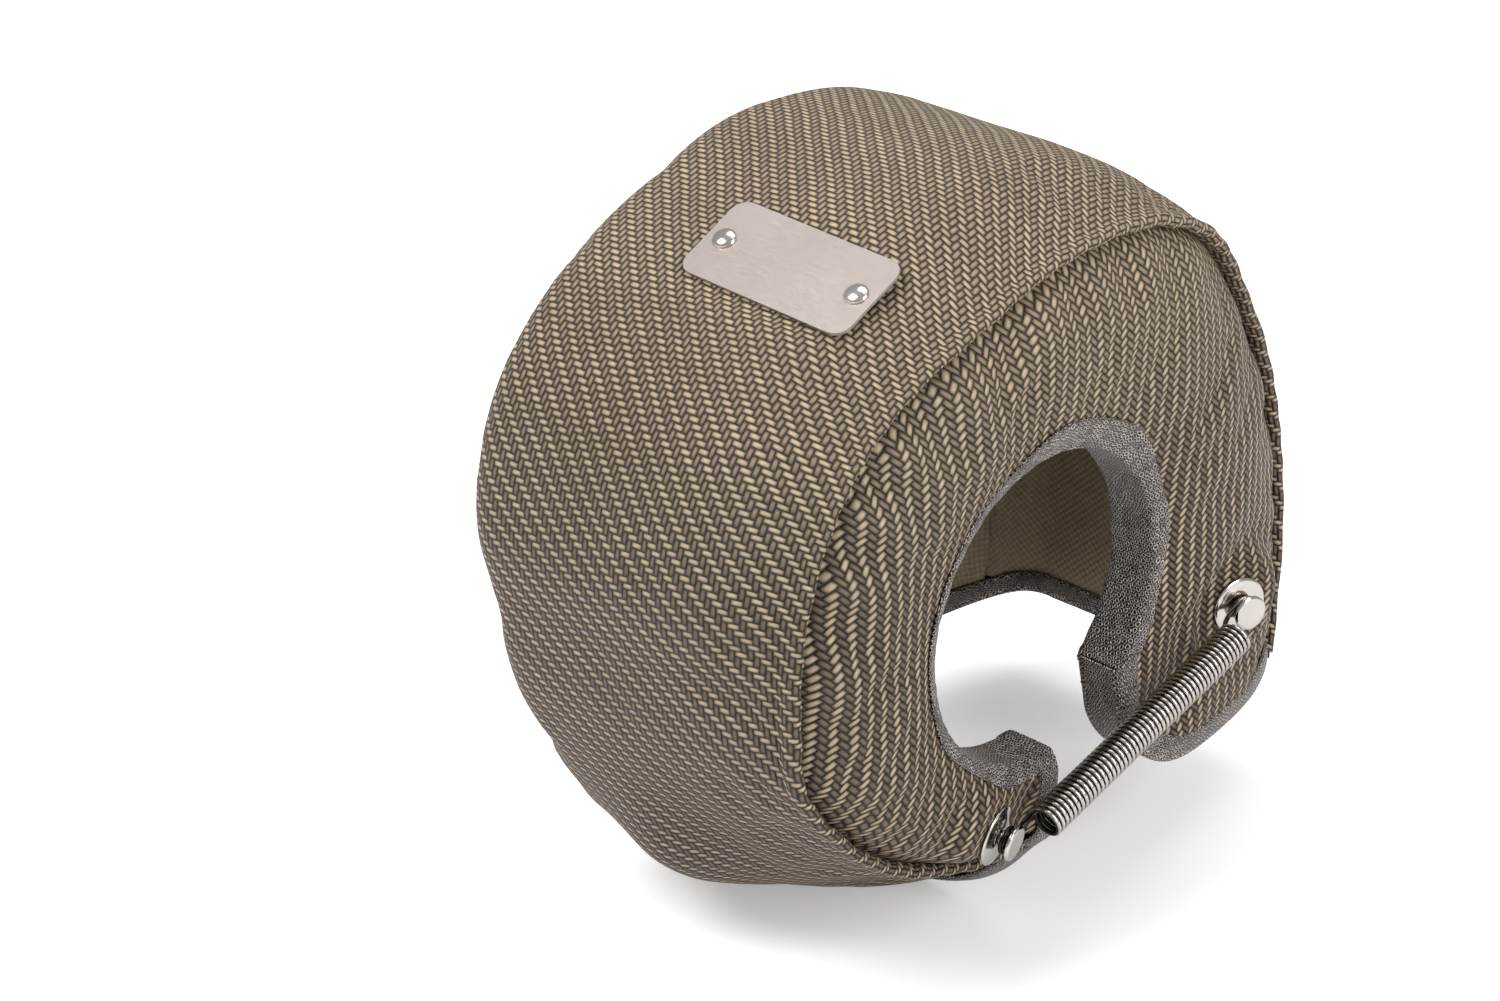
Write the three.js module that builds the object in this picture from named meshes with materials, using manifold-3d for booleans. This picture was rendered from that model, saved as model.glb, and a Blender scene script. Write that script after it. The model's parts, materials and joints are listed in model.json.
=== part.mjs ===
// Quilted heat blanket that wraps a turbine housing: a band round the housing, a face with the
// hole for the gas outlet, a rear panel, and two springs that draw its open ends together.
// Millimetres. X is the turbine axis and points out of the outlet, Z is up.
import * as THREE from 'three';
import { mergeVertices } from 'three/addons/utils/BufferGeometryUtils.js';
import Module from 'manifold-3d';

const wasm = await Module();
wasm.setup();

// Plies of the quilted wall, from the outside in.
const COVER_THICKNESS = 1.2;
const MAT_THICKNESS = 9;
const LINER_THICKNESS = 1;
const PLY_GAP = 0.3;

// Face panel round the gas outlet.
const OUTLET_RADIUS = 39.5;
const FACE_EDGE_X = -7;
const FACE_PUFF = 6;

// Seam between the face and the band, as a radius and its rise at each angle (degrees from +Y to +Z).
const SEAM_X = -10;
const SEAM_RADIUS = 84;
const SEAM_RISES = [
  [-168, -1], [-152, -7], [-130, -13.5], [-110, -18], [-85, -15], [-54, 24], [-35, 44], [-20, 37],
  [5, 24], [30, 15], [52, 14], [85, 3], [107, -2], [140, 2.5], [180, -1],
];
// Where the inlet scroll fills the blanket, the seam lies further back.
const SEAM_SETBACK = 14;
const SEAM_SETBACK_ANGLE = -10;
const SEAM_SETBACK_SPREAD = 38;

// Band from the seam to the rear shoulder.
const REAR_X = -112;
const BAND_RADIUS = 98;
const BAND_RISES = [
  [-168, -11], [-150, -12], [-133, -10], [-119, -8], [-92, -8], [-60, 15], [-38, 34], [-25, 28],
  [-5, 18], [20, 12], [44, 8], [65, 6], [88, 4.5], [110, 1], [145, 2.5], [165, -2], [180, -9.5],
];
const SHOULDER_ROUND = 15;
const FRONT_EASE = 7;
const LOW_EASE = 2.5;
const LOW_EASE_ANGLE = -130;
const LOW_EASE_SPREAD = 30;
// Fold that stands up where the band is drawn in at the lower left.
const FOLD_HEIGHT = 7.5;
const FOLD_ANGLE = -131;
const FOLD_X = -70;
const FOLD_LENGTH = 14;
const FOLD_SPREAD = 9;

// Rolled hem along the front of the band.
const HEM_RISE = 1.9;
const HEM_OVERHANG = 1.6;
const HEM_LENGTH = 3.4;
const HEM_SLOPE = 0.6;

// Rear panel round the bearing housing.
const MOUTH_RADIUS = 38;
const REAR_PUFF = 3;

// Open ends at the inlet neck.
const GAP_LEFT = 4;
const GAP_RIGHT = 28;
const GAP_TIP = [37, -56];
const NECK_TOP = -63;
const NECK_ROUND = 15;
const NECK_REACH = 260;
const NECK_SLIT_TOP = 24;

// Knitted wire edging.
const EDGING_THICKNESS = 0.8;
const EDGING_WIDTH = 7;
const BACK_STRIP = 6;
const OUTLET_EDGING_WIDTH = 4;
const OUTLET_EDGING_WIDEST = 9;
const OUTLET_EDGING_ANGLE = 75;
const OUTLET_EDGING_SPREAD = 32;

// Capstans that the springs hook on.
const WASHER_RADIUS = 7.7;
const WASHER_THICKNESS = 0.8;
const WASHER_DOME = 0.6;
const HEAD_RADIUS = 4.6;
const HEAD_THICKNESS = 1.1;
const POST_RADIUS = 2.4;
const POST_HEIGHT = 2.8;
const PIN_RADIUS = 1.5;
const BACK_WASHER_RADIUS = 6;
const BACK_WASHER_THICKNESS = 0.8;
const FIT = 0.3;
const BACK_CLEARANCE = 0.6;
const CUT_REACH = 26;
const ROUND_SIDES = 14;

// Where the capstans stand: y, z and the way each leans.
const FRONT_UPPER = [77.5, -28, [0.955, -0.28, 0.02]];
const FRONT_LOWER = [-20.5, -52, [0.955, 0.24, -0.15]];
const REAR_UPPER = [74, -42, [-0.98, -0.15, 0.1]];
const REAR_LOWER = [-21.5, -51, [-0.98, 0.15, -0.1]];

// How far round a washer, and beside a spring, the panel is pressed down.
const WASHER_FLAT = 9;
const WASHER_REACH = 20;
const LINE_FLAT = 9;
const LINE_REACH = 22;
const LINE_DEPTH = 1;
const EDGE_HELD = 0.25;

// Springs.
const WIRE = 1.3;
const COIL_RADIUS = 4.5;
const COIL_PITCH = 1.55;
const HOOK_LENGTH = 9.5;
const HOOK_BEND = 6;
const HOOK_TILT = 0.35;
const COIL_STEPS = 7;
const WIRE_SIDES = 3;
const HOOK_BEARINGS = [40, 80, 120, 160, 200, 240, 280];

// Name plate, left bare.
const PLATE_LENGTH = 50;
const PLATE_WIDTH = 24;
const PLATE_THICKNESS = 0.8;
const PLATE_CORNER = 4;
const PLATE_ANGLE = 117;
const PLATE_X = -48.5;
const PLATE_LIFT = 0.3;
const PLATE_CORNER_STEPS = 4;
const ENDS = [-1, 1];
const RIVET_INSET = 5;
const RIVET_RADIUS = 1.6;
const RIVET_HEAD_RADIUS = 3;
const RIVET_HEAD_HEIGHT = 1.4;
const BURR_RADIUS = 4.5;
const BURR_THICKNESS = 0.6;

// Mesh density.
const STATIONS = 32;
const FINE_BAND = [0.06, 0.16, 0.33, 0.52, 0.68, 0.85, 0.91, 0.96, 1];
const COARSE_BAND = [0, 0.16, 0.52, 0.85, 0.94, 1];
const FINE_FACE = [0, 0.12, 0.28, 0.5, 0.72, 0.88, 1];
const COARSE_FACE = [0, 0.28, 0.5, 0.72, 1];
const REAR_STEPS = [0, 0.25, 0.75, 1];

const COVER_BACK = COVER_THICKNESS;
const MAT_FRONT = COVER_BACK + PLY_GAP;
const MAT_BACK = MAT_FRONT + MAT_THICKNESS;
const LINER_FRONT = MAT_BACK + PLY_GAP;
const WALL = LINER_FRONT + LINER_THICKNESS;
const EDGING_OUT = PLY_GAP + EDGING_THICKNESS;
const SHOULDER_START = 0.85;

const group = new THREE.Group();
const radians = THREE.MathUtils.degToRad;
const lerp = THREE.MathUtils.lerp;

// Angle from one bearing to another, between -180 and 180.
function turn(from, to) {
  return THREE.MathUtils.euclideanModulo(to - from + 180, 360) - 180;
}

function lobe(angle, at, spread) {
  return Math.exp(-0.5 * (turn(at, angle) / spread) ** 2);
}

// Smooth closed outline through [angle, rise] pairs that run from -180 to 180.
function riseAt(pairs, angle) {
  const count = pairs.length;
  const bearing = turn(0, angle);
  const after = pairs.findIndex((pair) => pair[0] > bearing);
  const start = after === -1 ? count - 1 : after - 1;
  const pick = (i) => pairs[THREE.MathUtils.euclideanModulo(i, count)];
  const [a, b, c, d] = [-1, 0, 1, 2].map((step) => pick(start + step));
  const span = turn(b[0], c[0]);
  const t = turn(b[0], bearing) / span;
  const slopeIn = ((c[1] - a[1]) / turn(a[0], c[0])) * span;
  const slopeOut = ((d[1] - b[1]) / turn(b[0], d[0])) * span;
  return (2 * t ** 3 - 3 * t ** 2 + 1) * b[1] + (t ** 3 - 2 * t ** 2 + t) * slopeIn
    + (3 * t ** 2 - 2 * t ** 3) * c[1] + (t ** 3 - t ** 2) * slopeOut;
}

const seamRadius = (angle) => SEAM_RADIUS + riseAt(SEAM_RISES, angle);
const bandRadius = (angle) => BAND_RADIUS + riseAt(BAND_RISES, angle);
const seamX = (angle) => SEAM_X - SEAM_SETBACK * lobe(angle, SEAM_SETBACK_ANGLE, SEAM_SETBACK_SPREAD);

// Radius of the band's outside, t running from the seam to the rear corner.
function bandProfile(angle, t) {
  const seam = seamRadius(angle);
  const full = bandRadius(angle);
  if (t >= SHOULDER_START) {
    const round = (t - SHOULDER_START) / (1 - SHOULDER_START);
    return full - SHOULDER_ROUND * (1 - Math.sqrt(Math.max(0, 1 - round * round)));
  }
  const ease = lerp(FRONT_EASE, LOW_EASE, lobe(angle, LOW_EASE_ANGLE, LOW_EASE_SPREAD));
  const x = lerp(seamX(angle), REAR_X, t);
  const fold = FOLD_HEIGHT * lobe(angle, FOLD_ANGLE, FOLD_SPREAD)
    * Math.exp(-0.5 * ((x - FOLD_X) / FOLD_LENGTH) ** 2);
  return seam + (full - seam) * (1 - (1 - t / SHOULDER_START) ** ease) + fold;
}

// Points are [x, radius] at a depth below the outside of the wall.
function bandPoint(angle, t, depth) {
  const x = lerp(seamX(angle) - depth, REAR_X + depth, t);
  return [x, bandProfile(angle, t) - depth];
}

const puffed = (share, height) => height * (1 - Math.abs(2 * share - 1) ** 2.5);

// A panel between two radii, as its free outside before a spring presses it.
const face = {
  outward: 1,
  inner: () => OUTLET_RADIUS + EDGING_OUT,
  outer: (angle) => seamRadius(angle) - PLY_GAP,
  free: (angle, share) => lerp(FACE_EDGE_X, seamX(angle), share ** 1.5) + puffed(share, FACE_PUFF),
};
const rear = {
  outward: -1,
  inner: () => MOUTH_RADIUS + EDGING_OUT,
  outer: (angle) => bandRadius(angle) - SHOULDER_ROUND - PLY_GAP,
  free: (angle, share) => REAR_X - puffed(share, REAR_PUFF),
};

function freeX(panel, y, z) {
  const angle = THREE.MathUtils.radToDeg(Math.atan2(z, y));
  const [inner, outer] = [panel.inner(), panel.outer(angle)];
  return panel.free(angle, THREE.MathUtils.clamp((Math.hypot(y, z) - inner) / (outer - inner), 0, 1));
}

function seatOn(panel, [y, z, axis]) {
  return { base: new THREE.Vector3(freeX(panel, y, z), y, z), axis: new THREE.Vector3(...axis).normalize() };
}

const seats = {
  front_upper: seatOn(face, FRONT_UPPER),
  front_lower: seatOn(face, FRONT_LOWER),
  rear_upper: seatOn(rear, REAR_UPPER),
  rear_lower: seatOn(rear, REAR_LOWER),
};
face.seats = [seats.front_upper, seats.front_lower];
rear.seats = [seats.rear_upper, seats.rear_lower];

const fade = (away, flat, reach) => 1 - THREE.MathUtils.smoothstep(away, flat, reach);

// How far a spring moves its panel: flat under each washer, and below the line between the two.
function pressed(panel, y, z) {
  const free = freeX(panel, y, z);
  const [from, to] = panel.seats.map((seat) => seat.base);
  const run = new THREE.Vector2(to.y - from.y, to.z - from.z);
  const offset = new THREE.Vector2(y - from.y, z - from.z);
  const share = THREE.MathUtils.clamp(offset.dot(run) / run.lengthSq(), 0, 1);
  const away = offset.addScaledVector(run, -share).length();
  const line = lerp(from.x, to.x, share) - panel.outward * LINE_DEPTH;
  const over = Math.max(0, (free - line) * panel.outward);
  let x = free - panel.outward * over * fade(away, LINE_FLAT, LINE_REACH);
  for (const { base, axis } of panel.seats) {
    const plane = base.x - (axis.y * (y - base.y) + axis.z * (z - base.z)) / axis.x;
    x = lerp(x, plane, fade(Math.hypot(y - base.y, z - base.z), WASHER_FLAT, WASHER_REACH));
  }
  return x - free;
}

const panelPoint = (panel) => (angle, share, depth) => {
  const r = lerp(panel.inner(), panel.outer(angle) - depth, share);
  const shift = pressed(panel, r * Math.cos(radians(angle)), r * Math.sin(radians(angle)));
  const held = (1 - share ** 8) * THREE.MathUtils.smoothstep(share, 0, EDGE_HELD);
  return [panel.free(angle, share) + shift * held - panel.outward * depth, r];
};
const facePoint = panelPoint(face);
const rearPoint = panelPoint(rear);

const path = (point, steps, depth) => (angle) => steps.map((step) => point(angle, step, depth));

// Runs points the other way and marks them, so that facing plies split their quads alike.
const back = (points) => points.reverse().map(([x, r]) => [x, r, true]);

// Closed ply between an outer path and an inner path.
function ply(outer, inner) {
  return (angle) => [...outer(angle), ...back(inner(angle))];
}

// Sweeps a closed section round the turbine axis into one closed ring.
function ring(section) {
  const rows = Array.from({ length: STATIONS }, (_, i) => {
    const angle = (360 * i) / STATIONS;
    return section(angle).map(([x, r]) => [x, r * Math.cos(radians(angle)), r * Math.sin(radians(angle))]);
  });
  const marked = section(0).map((point) => point[2]);
  const around = marked.length;
  const index = [];
  for (let i = 0; i < STATIONS; i += 1) {
    const next = (i + 1) % STATIONS;
    for (let j = 0; j < around; j += 1) {
      const beside = (j + 1) % around;
      const [a, b] = [i * around + j, i * around + beside];
      const [c, d] = [next * around + j, next * around + beside];
      index.push(...(marked[j] ? [a, b, c, b, d, c] : [a, b, d, a, d, c]));
    }
  }
  const geometry = new THREE.BufferGeometry();
  geometry.setAttribute('position', new THREE.Float32BufferAttribute(rows.flat(2), 3));
  geometry.setIndex(index);
  return geometry;
}

// Turns a closed geometry into a solid, and back.
function solid(geometry) {
  const bare = geometry.clone();
  bare.deleteAttribute('normal');
  bare.deleteAttribute('uv');
  const merged = mergeVertices(bare, 1e-4);
  const made = new wasm.Manifold(new wasm.Mesh({
    numProp: 3,
    vertProperties: Float32Array.from(merged.attributes.position.array),
    triVerts: Uint32Array.from(merged.index.array),
  }));
  return made.volume() < 0 ? solid(flipped(merged)) : made;
}

function flipped(geometry) {
  const turned = geometry.clone();
  const index = Array.from(turned.index.array);
  for (let i = 0; i < index.length; i += 3) {
    [index[i], index[i + 1]] = [index[i + 1], index[i]];
  }
  turned.setIndex(index);
  return turned;
}

function shape(made) {
  const mesh = made.getMesh();
  const geometry = new THREE.BufferGeometry();
  geometry.setAttribute('position', new THREE.Float32BufferAttribute(mesh.vertProperties, 3));
  geometry.setIndex(Array.from(mesh.triVerts));
  return geometry;
}

function add(name, made, { color, roughness, metalness }) {
  const mesh = new THREE.Mesh(shape(made), new THREE.MeshStandardMaterial({ color, roughness, metalness }));
  mesh.name = name;
  group.add(mesh);
}

const FABRIC = { color: 0x8f8371, roughness: 0.75, metalness: 0.05 };
const MAT = { color: 0xe8e4da, roughness: 0.95, metalness: 0 };
const LINING = { color: 0xcdc4b2, roughness: 0.9, metalness: 0 };
const KNIT = { color: 0x9a9490, roughness: 0.5, metalness: 0.7 };
const STEEL = { color: 0xc9c4c0, roughness: 0.25, metalness: 1 };
const WIRE_STEEL = { color: 0xb9b5b0, roughness: 0.22, metalness: 1 };

const ALONG_X = new THREE.Matrix4().makeBasis(
  new THREE.Vector3(0, 1, 0),
  new THREE.Vector3(0, 0, 1),
  new THREE.Vector3(1, 0, 0),
);

// Space that the inlet neck takes out of the wall, widened by grow.
function neckSpace(grow) {
  const [tipY, tipZ] = GAP_TIP;
  const outline = new THREE.Shape();
  outline.moveTo(GAP_LEFT - grow, -NECK_SLIT_TOP);
  outline.lineTo(GAP_LEFT - grow, -NECK_REACH);
  outline.lineTo(NECK_REACH, -NECK_REACH);
  outline.lineTo(NECK_REACH, NECK_TOP + grow);
  outline.lineTo(tipY + NECK_ROUND, NECK_TOP + grow);
  outline.lineTo(tipY + grow * 0.7, tipZ + grow);
  outline.lineTo(GAP_RIGHT + grow, tipZ + NECK_ROUND);
  outline.lineTo(GAP_RIGHT + grow, -NECK_SLIT_TOP);
  const long = new THREE.ExtrudeGeometry(outline, { depth: NECK_REACH, bevelEnabled: false });
  long.applyMatrix4(ALONG_X);
  long.translate(REAR_X - NECK_SLIT_TOP, 0, 0);
  return solid(long);
}

// Frame with its origin at a base point and +Z along an axis.
function seatFrame(base, axis) {
  const spin = new THREE.Quaternion().setFromUnitVectors(new THREE.Vector3(0, 0, 1), axis);
  return new THREE.Matrix4().compose(base, spin, new THREE.Vector3(1, 1, 1));
}

function lathe(points, frame, sides = ROUND_SIDES) {
  const outline = points.map(([r, z]) => new THREE.Vector2(r, z));
  const turned = new THREE.LatheGeometry(outline, sides);
  turned.rotateX(Math.PI / 2);
  turned.applyMatrix4(frame);
  return solid(turned);
}

function rod(radius, low, high, frame) {
  return lathe([[0, low], [radius, low], [radius, high], [0, high]], frame);
}

function washer(inner, outer, low, high, frame) {
  return lathe([[inner, low], [outer, low], [outer, high], [inner, high], [inner, low]], frame);
}

const SHOULDER_Z = WASHER_DOME + WASHER_THICKNESS + FIT;
const HEAD_Z = SHOULDER_Z + POST_HEIGHT;
const backZ = (axis) => -WALL * Math.abs(axis.x) - BACK_CLEARANCE;

function capstanWasher({ base, axis }) {
  const bore = PIN_RADIUS + FIT;
  const dome = WASHER_DOME;
  const top = dome + WASHER_THICKNESS;
  return lathe([
    [bore, dome], [WASHER_RADIUS * 0.55, dome * 0.8], [WASHER_RADIUS - WASHER_THICKNESS, 0],
    [WASHER_RADIUS, 0], [WASHER_RADIUS, WASHER_THICKNESS * 0.6],
    [WASHER_RADIUS * 0.6, top * 0.92], [bore, top], [bore, dome],
  ], seatFrame(base, axis));
}

function capstanStud({ base, axis }) {
  const tail = backZ(axis) - BACK_WASHER_THICKNESS - FIT * 2;
  return lathe([
    [0, tail], [PIN_RADIUS, tail], [PIN_RADIUS, SHOULDER_Z], [POST_RADIUS, SHOULDER_Z],
    [POST_RADIUS, HEAD_Z], [HEAD_RADIUS, HEAD_Z], [HEAD_RADIUS, HEAD_Z + HEAD_THICKNESS * 0.7],
    [HEAD_RADIUS - HEAD_THICKNESS * 0.3, HEAD_Z + HEAD_THICKNESS], [0, HEAD_Z + HEAD_THICKNESS],
  ], seatFrame(base, axis));
}

function lockWasher({ base, axis }) {
  const top = backZ(axis);
  return washer(PIN_RADIUS + FIT, BACK_WASHER_RADIUS, top - BACK_WASHER_THICKNESS, top, seatFrame(base, axis));
}

// What a capstan takes out of the plies: its pin's hole and the seats of both washers.
function capstanSpace({ base, axis }) {
  const frame = seatFrame(base, axis);
  const hole = rod(PIN_RADIUS + FIT, -CUT_REACH, CUT_REACH, frame);
  const front = rod(WASHER_RADIUS + FIT, -FIT, CUT_REACH / 2, frame);
  const back = rod(BACK_WASHER_RADIUS + FIT, -CUT_REACH, backZ(axis) + FIT, frame);
  return hole.add(front).add(back);
}

// Extension spring: a close coil with a hook round each post, both hooks on the coil's panel side.
function spring([from, to]) {
  const height = (SHOULDER_Z + HEAD_Z) / 2;
  const [start, end] = [from, to].map(({ base, axis }) => base.clone().addScaledVector(axis, height));
  const along = end.clone().sub(start).normalize();
  const side = from.axis.clone().add(to.axis).cross(along).normalize();
  const rise = along.clone().cross(side);
  const hook = (origin, axis, sign) => {
    const normal = axis.clone().lerp(rise, HOOK_TILT).normalize();
    const ahead = along.clone().projectOnPlane(normal).normalize();
    const beside = normal.clone().cross(ahead);
    const loop = POST_RADIUS + WIRE / 2 + FIT;
    const at = (a, s) => origin.clone().addScaledVector(ahead, sign * a).addScaledVector(beside, sign * s);
    const bend = HOOK_BEARINGS.map((bearing) => at(
      loop * Math.cos(radians(bearing)), loop * Math.sin(radians(bearing))));
    return [...bend, at(HOOK_BEND, -WIRE)];
  };
  const coilLength = start.distanceTo(end) - 2 * HOOK_LENGTH;
  const turns = Math.floor(coilLength / COIL_PITCH);
  const mean = COIL_RADIUS - WIRE / 2;
  const coil = Array.from({ length: turns * COIL_STEPS + 1 }, (_, i) => {
    const bearing = radians((360 * i) / COIL_STEPS);
    return start.clone()
      .addScaledVector(along, HOOK_LENGTH + (coilLength * i) / (turns * COIL_STEPS))
      .addScaledVector(side, mean * Math.sin(bearing))
      .addScaledVector(rise, mean * (1 - Math.cos(bearing)));
  });
  const points = [...hook(start, from.axis, 1), ...coil, ...hook(end, to.axis, -1).reverse()];
  const middle = new THREE.CatmullRomCurve3(points);
  middle.arcLengthDivisions = points.length * 4;
  const section = new THREE.Shape(Array.from({ length: WIRE_SIDES }, (_, i) => {
    const bearing = radians((360 * i) / WIRE_SIDES);
    return new THREE.Vector2(Math.cos(bearing), Math.sin(bearing)).multiplyScalar(WIRE / 2);
  }));
  return solid(new THREE.ExtrudeGeometry(section, {
    steps: points.length - 1, bevelEnabled: false, extrudePath: middle,
  }));
}

// Frame of the name plate: length along the band, +Z out of it.
function plateFrame() {
  const seam = seamX(PLATE_ANGLE);
  const share = (x) => (x - seam) / (REAR_X - seam);
  const reach = PLATE_LENGTH / 2 - RIVET_INSET;
  const radius = (x) => bandProfile(PLATE_ANGLE, share(x));
  const front = radius(PLATE_X + reach);
  const back = radius(PLATE_X - reach);
  const out = new THREE.Vector3(0, Math.cos(radians(PLATE_ANGLE)), Math.sin(radians(PLATE_ANGLE)));
  const long = new THREE.Vector3(2 * reach, 0, 0).addScaledVector(out, front - back).normalize();
  const wide = out.clone().cross(long).normalize();
  const normal = long.clone().cross(wide).normalize();
  const centre = new THREE.Vector3(PLATE_X, 0, 0).addScaledVector(out, (front + back) / 2 + PLATE_LIFT);
  return new THREE.Matrix4().makeBasis(long, wide, normal).setPosition(centre);
}

function plateBlock(grow, low, high) {
  const [long, wide] = [PLATE_LENGTH / 2 + grow, PLATE_WIDTH / 2 + grow];
  const corner = PLATE_CORNER + grow;
  const outline = new THREE.Shape();
  outline.moveTo(-long + corner, -wide);
  outline.absarc(long - corner, -wide + corner, corner, -Math.PI / 2, 0);
  outline.absarc(long - corner, wide - corner, corner, 0, Math.PI / 2);
  outline.absarc(-long + corner, wide - corner, corner, Math.PI / 2, Math.PI);
  outline.absarc(-long + corner, -wide + corner, corner, Math.PI, 1.5 * Math.PI);
  const block = new THREE.ExtrudeGeometry(outline, {
    depth: high - low, bevelEnabled: false, curveSegments: PLATE_CORNER_STEPS,
  });
  block.translate(0, 0, low);
  block.applyMatrix4(plateFrame());
  return solid(block);
}

function rivetFrame(end) {
  return plateFrame().multiply(new THREE.Matrix4().makeTranslation(end * (PLATE_LENGTH / 2 - RIVET_INSET), 0, 0));
}

const BURR_Z = -WALL - BACK_CLEARANCE - PLATE_LIFT;

function rivet(end) {
  const low = PLATE_THICKNESS + FIT;
  const tail = BURR_Z - BURR_THICKNESS - FIT * 2;
  return lathe([
    [0, tail], [RIVET_RADIUS, tail], [RIVET_RADIUS, low], [RIVET_HEAD_RADIUS, low],
    [RIVET_HEAD_RADIUS * 0.85, low + RIVET_HEAD_HEIGHT * 0.55],
    [RIVET_HEAD_RADIUS * 0.5, low + RIVET_HEAD_HEIGHT * 0.9], [0, low + RIVET_HEAD_HEIGHT],
  ], rivetFrame(end));
}

function burr(end) {
  return washer(RIVET_RADIUS + FIT, BURR_RADIUS, BURR_Z - BURR_THICKNESS, BURR_Z, rivetFrame(end));
}

function plateSpace() {
  return ENDS.reduce((space, end) => {
    const frame = rivetFrame(end);
    const hole = rod(RIVET_RADIUS + FIT, -CUT_REACH, CUT_REACH, frame);
    const back = rod(BURR_RADIUS + FIT, -CUT_REACH, BURR_Z + FIT, frame);
    return space.add(hole).add(back);
  }, plateBlock(FIT, -FIT, CUT_REACH));
}

// The band's cover ends in a rolled hem that stands over the seam.
function hem(angle) {
  const [x, r] = bandPoint(angle, 0, 0);
  return [
    [x + PLY_GAP, r], [x + HEM_OVERHANG, r + PLY_GAP], [x + HEM_OVERHANG, r + HEM_RISE * 0.7],
    [x, r + HEM_RISE], [x - HEM_LENGTH * 0.5, r + HEM_RISE * 0.9 + HEM_SLOPE],
  ];
}

// x of a panel's faceted outside at a radius.
function surfaceX(point, steps, angle, radius) {
  const corners = steps.map((step) => point(angle, step, 0));
  const next = Math.max(1, corners.findIndex(([, r]) => r >= radius));
  const [a, b] = [corners[next - 1], corners[next]];
  return lerp(a[0], b[0], (radius - a[1]) / (b[1] - a[1]));
}

// Knitted wire strip that wraps the edge of an opening: outside, round the edge, and inside.
function edging(point, steps, edgeRadius, width) {
  return (angle) => {
    const rim = edgeRadius + EDGING_OUT;
    const inward = Math.sign(point(angle, 0, 1)[0] - point(angle, 0, 0)[0]);
    const on = (r, depth) => [surfaceX(point, steps, angle, Math.max(r, rim)) + inward * depth, r];
    const [far, mid] = [rim + width(angle), rim + width(angle) / 2];
    return [
      on(far, -EDGING_OUT), on(mid, -EDGING_OUT), on(edgeRadius, -EDGING_OUT),
      on(edgeRadius, WALL + EDGING_OUT),
      [on(rim, WALL + EDGING_OUT)[0], rim + BACK_STRIP], [on(rim, WALL + PLY_GAP)[0], rim + BACK_STRIP],
      on(edgeRadius + EDGING_THICKNESS, WALL + PLY_GAP), on(edgeRadius + EDGING_THICKNESS, -PLY_GAP),
      on(mid, -PLY_GAP), on(far, -PLY_GAP),
    ];
  };
}

function largest(made) {
  return made.decompose().sort((a, b) => b.volume() - a.volume())[0];
}

// Whole wall between two depths, from the outlet round the band to the rear mouth.
function envelope(outer, inner) {
  const shell = (angle) => [
    ...path(facePoint, FINE_FACE, outer)(angle), ...path(bandPoint, FINE_BAND, outer)(angle),
    ...back(path(rearPoint, REAR_STEPS, outer)(angle)), ...path(rearPoint, REAR_STEPS, inner)(angle),
    ...back(path(bandPoint, COARSE_BAND, inner)(angle)), ...back(path(facePoint, COARSE_FACE, inner)(angle)),
  ];
  return solid(ring(shell));
}

const wallSpace = envelope(-PLY_GAP, WALL + PLY_GAP);

function endEdgings() {
  const strip = envelope(-EDGING_OUT, WALL + EDGING_OUT).intersect(neckSpace(EDGING_WIDTH));
  const core = wallSpace.subtract(neckSpace(EDGING_THICKNESS));
  const pieces = strip.subtract(neckSpace(0)).subtract(core).decompose();
  const byVolume = pieces.sort((a, b) => b.volume() - a.volume()).slice(0, 2);
  return byVolume.sort((a, b) => a.boundingBox().min[1] - b.boundingBox().min[1]);
}

const neck = neckSpace(EDGING_OUT);
const cut = (section, spaces) => largest(
  [neck, ...spaces].reduce((made, space) => made.subtract(space), solid(ring(section))));

const faceSpace = face.seats.map(capstanSpace);
const rearSpace = rear.seats.map(capstanSpace);
const bandSpace = [plateSpace()];
const hardwareSpace = [...bandSpace, ...faceSpace, ...rearSpace];
const hemSpace = envelope(-CUT_REACH / 4, -0.05).intersect(neckSpace(EDGING_WIDTH + PLY_GAP));
const mat = (point, steps) => ply(path(point, steps, MAT_FRONT), path(point, steps, MAT_BACK));
const liner = (point, steps) => ply(path(point, steps, LINER_FRONT), path(point, steps, WALL));
const bandCover = ply(
  (angle) => [...hem(angle), ...path(bandPoint, FINE_BAND, 0)(angle)],
  path(bandPoint, COARSE_BAND, COVER_BACK));
add('band_cover', cut(bandCover, [...bandSpace, hemSpace]), FABRIC);
add('band_mat', cut(mat(bandPoint, COARSE_BAND), hardwareSpace), MAT);
add('band_liner', cut(liner(bandPoint, COARSE_BAND), hardwareSpace), LINING);
add('face_cover', cut(ply(path(facePoint, FINE_FACE, 0), path(facePoint, COARSE_FACE, COVER_BACK)),
  faceSpace), FABRIC);
add('face_mat', cut(mat(facePoint, COARSE_FACE), faceSpace), MAT);
add('face_liner', cut(liner(facePoint, COARSE_FACE), faceSpace), LINING);
add('rear_cover', cut(ply(path(rearPoint, REAR_STEPS, 0), path(rearPoint, REAR_STEPS, COVER_BACK)),
  rearSpace), FABRIC);
add('rear_mat', cut(mat(rearPoint, REAR_STEPS), rearSpace), MAT);
add('rear_liner', cut(liner(rearPoint, REAR_STEPS), rearSpace), LINING);

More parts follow.
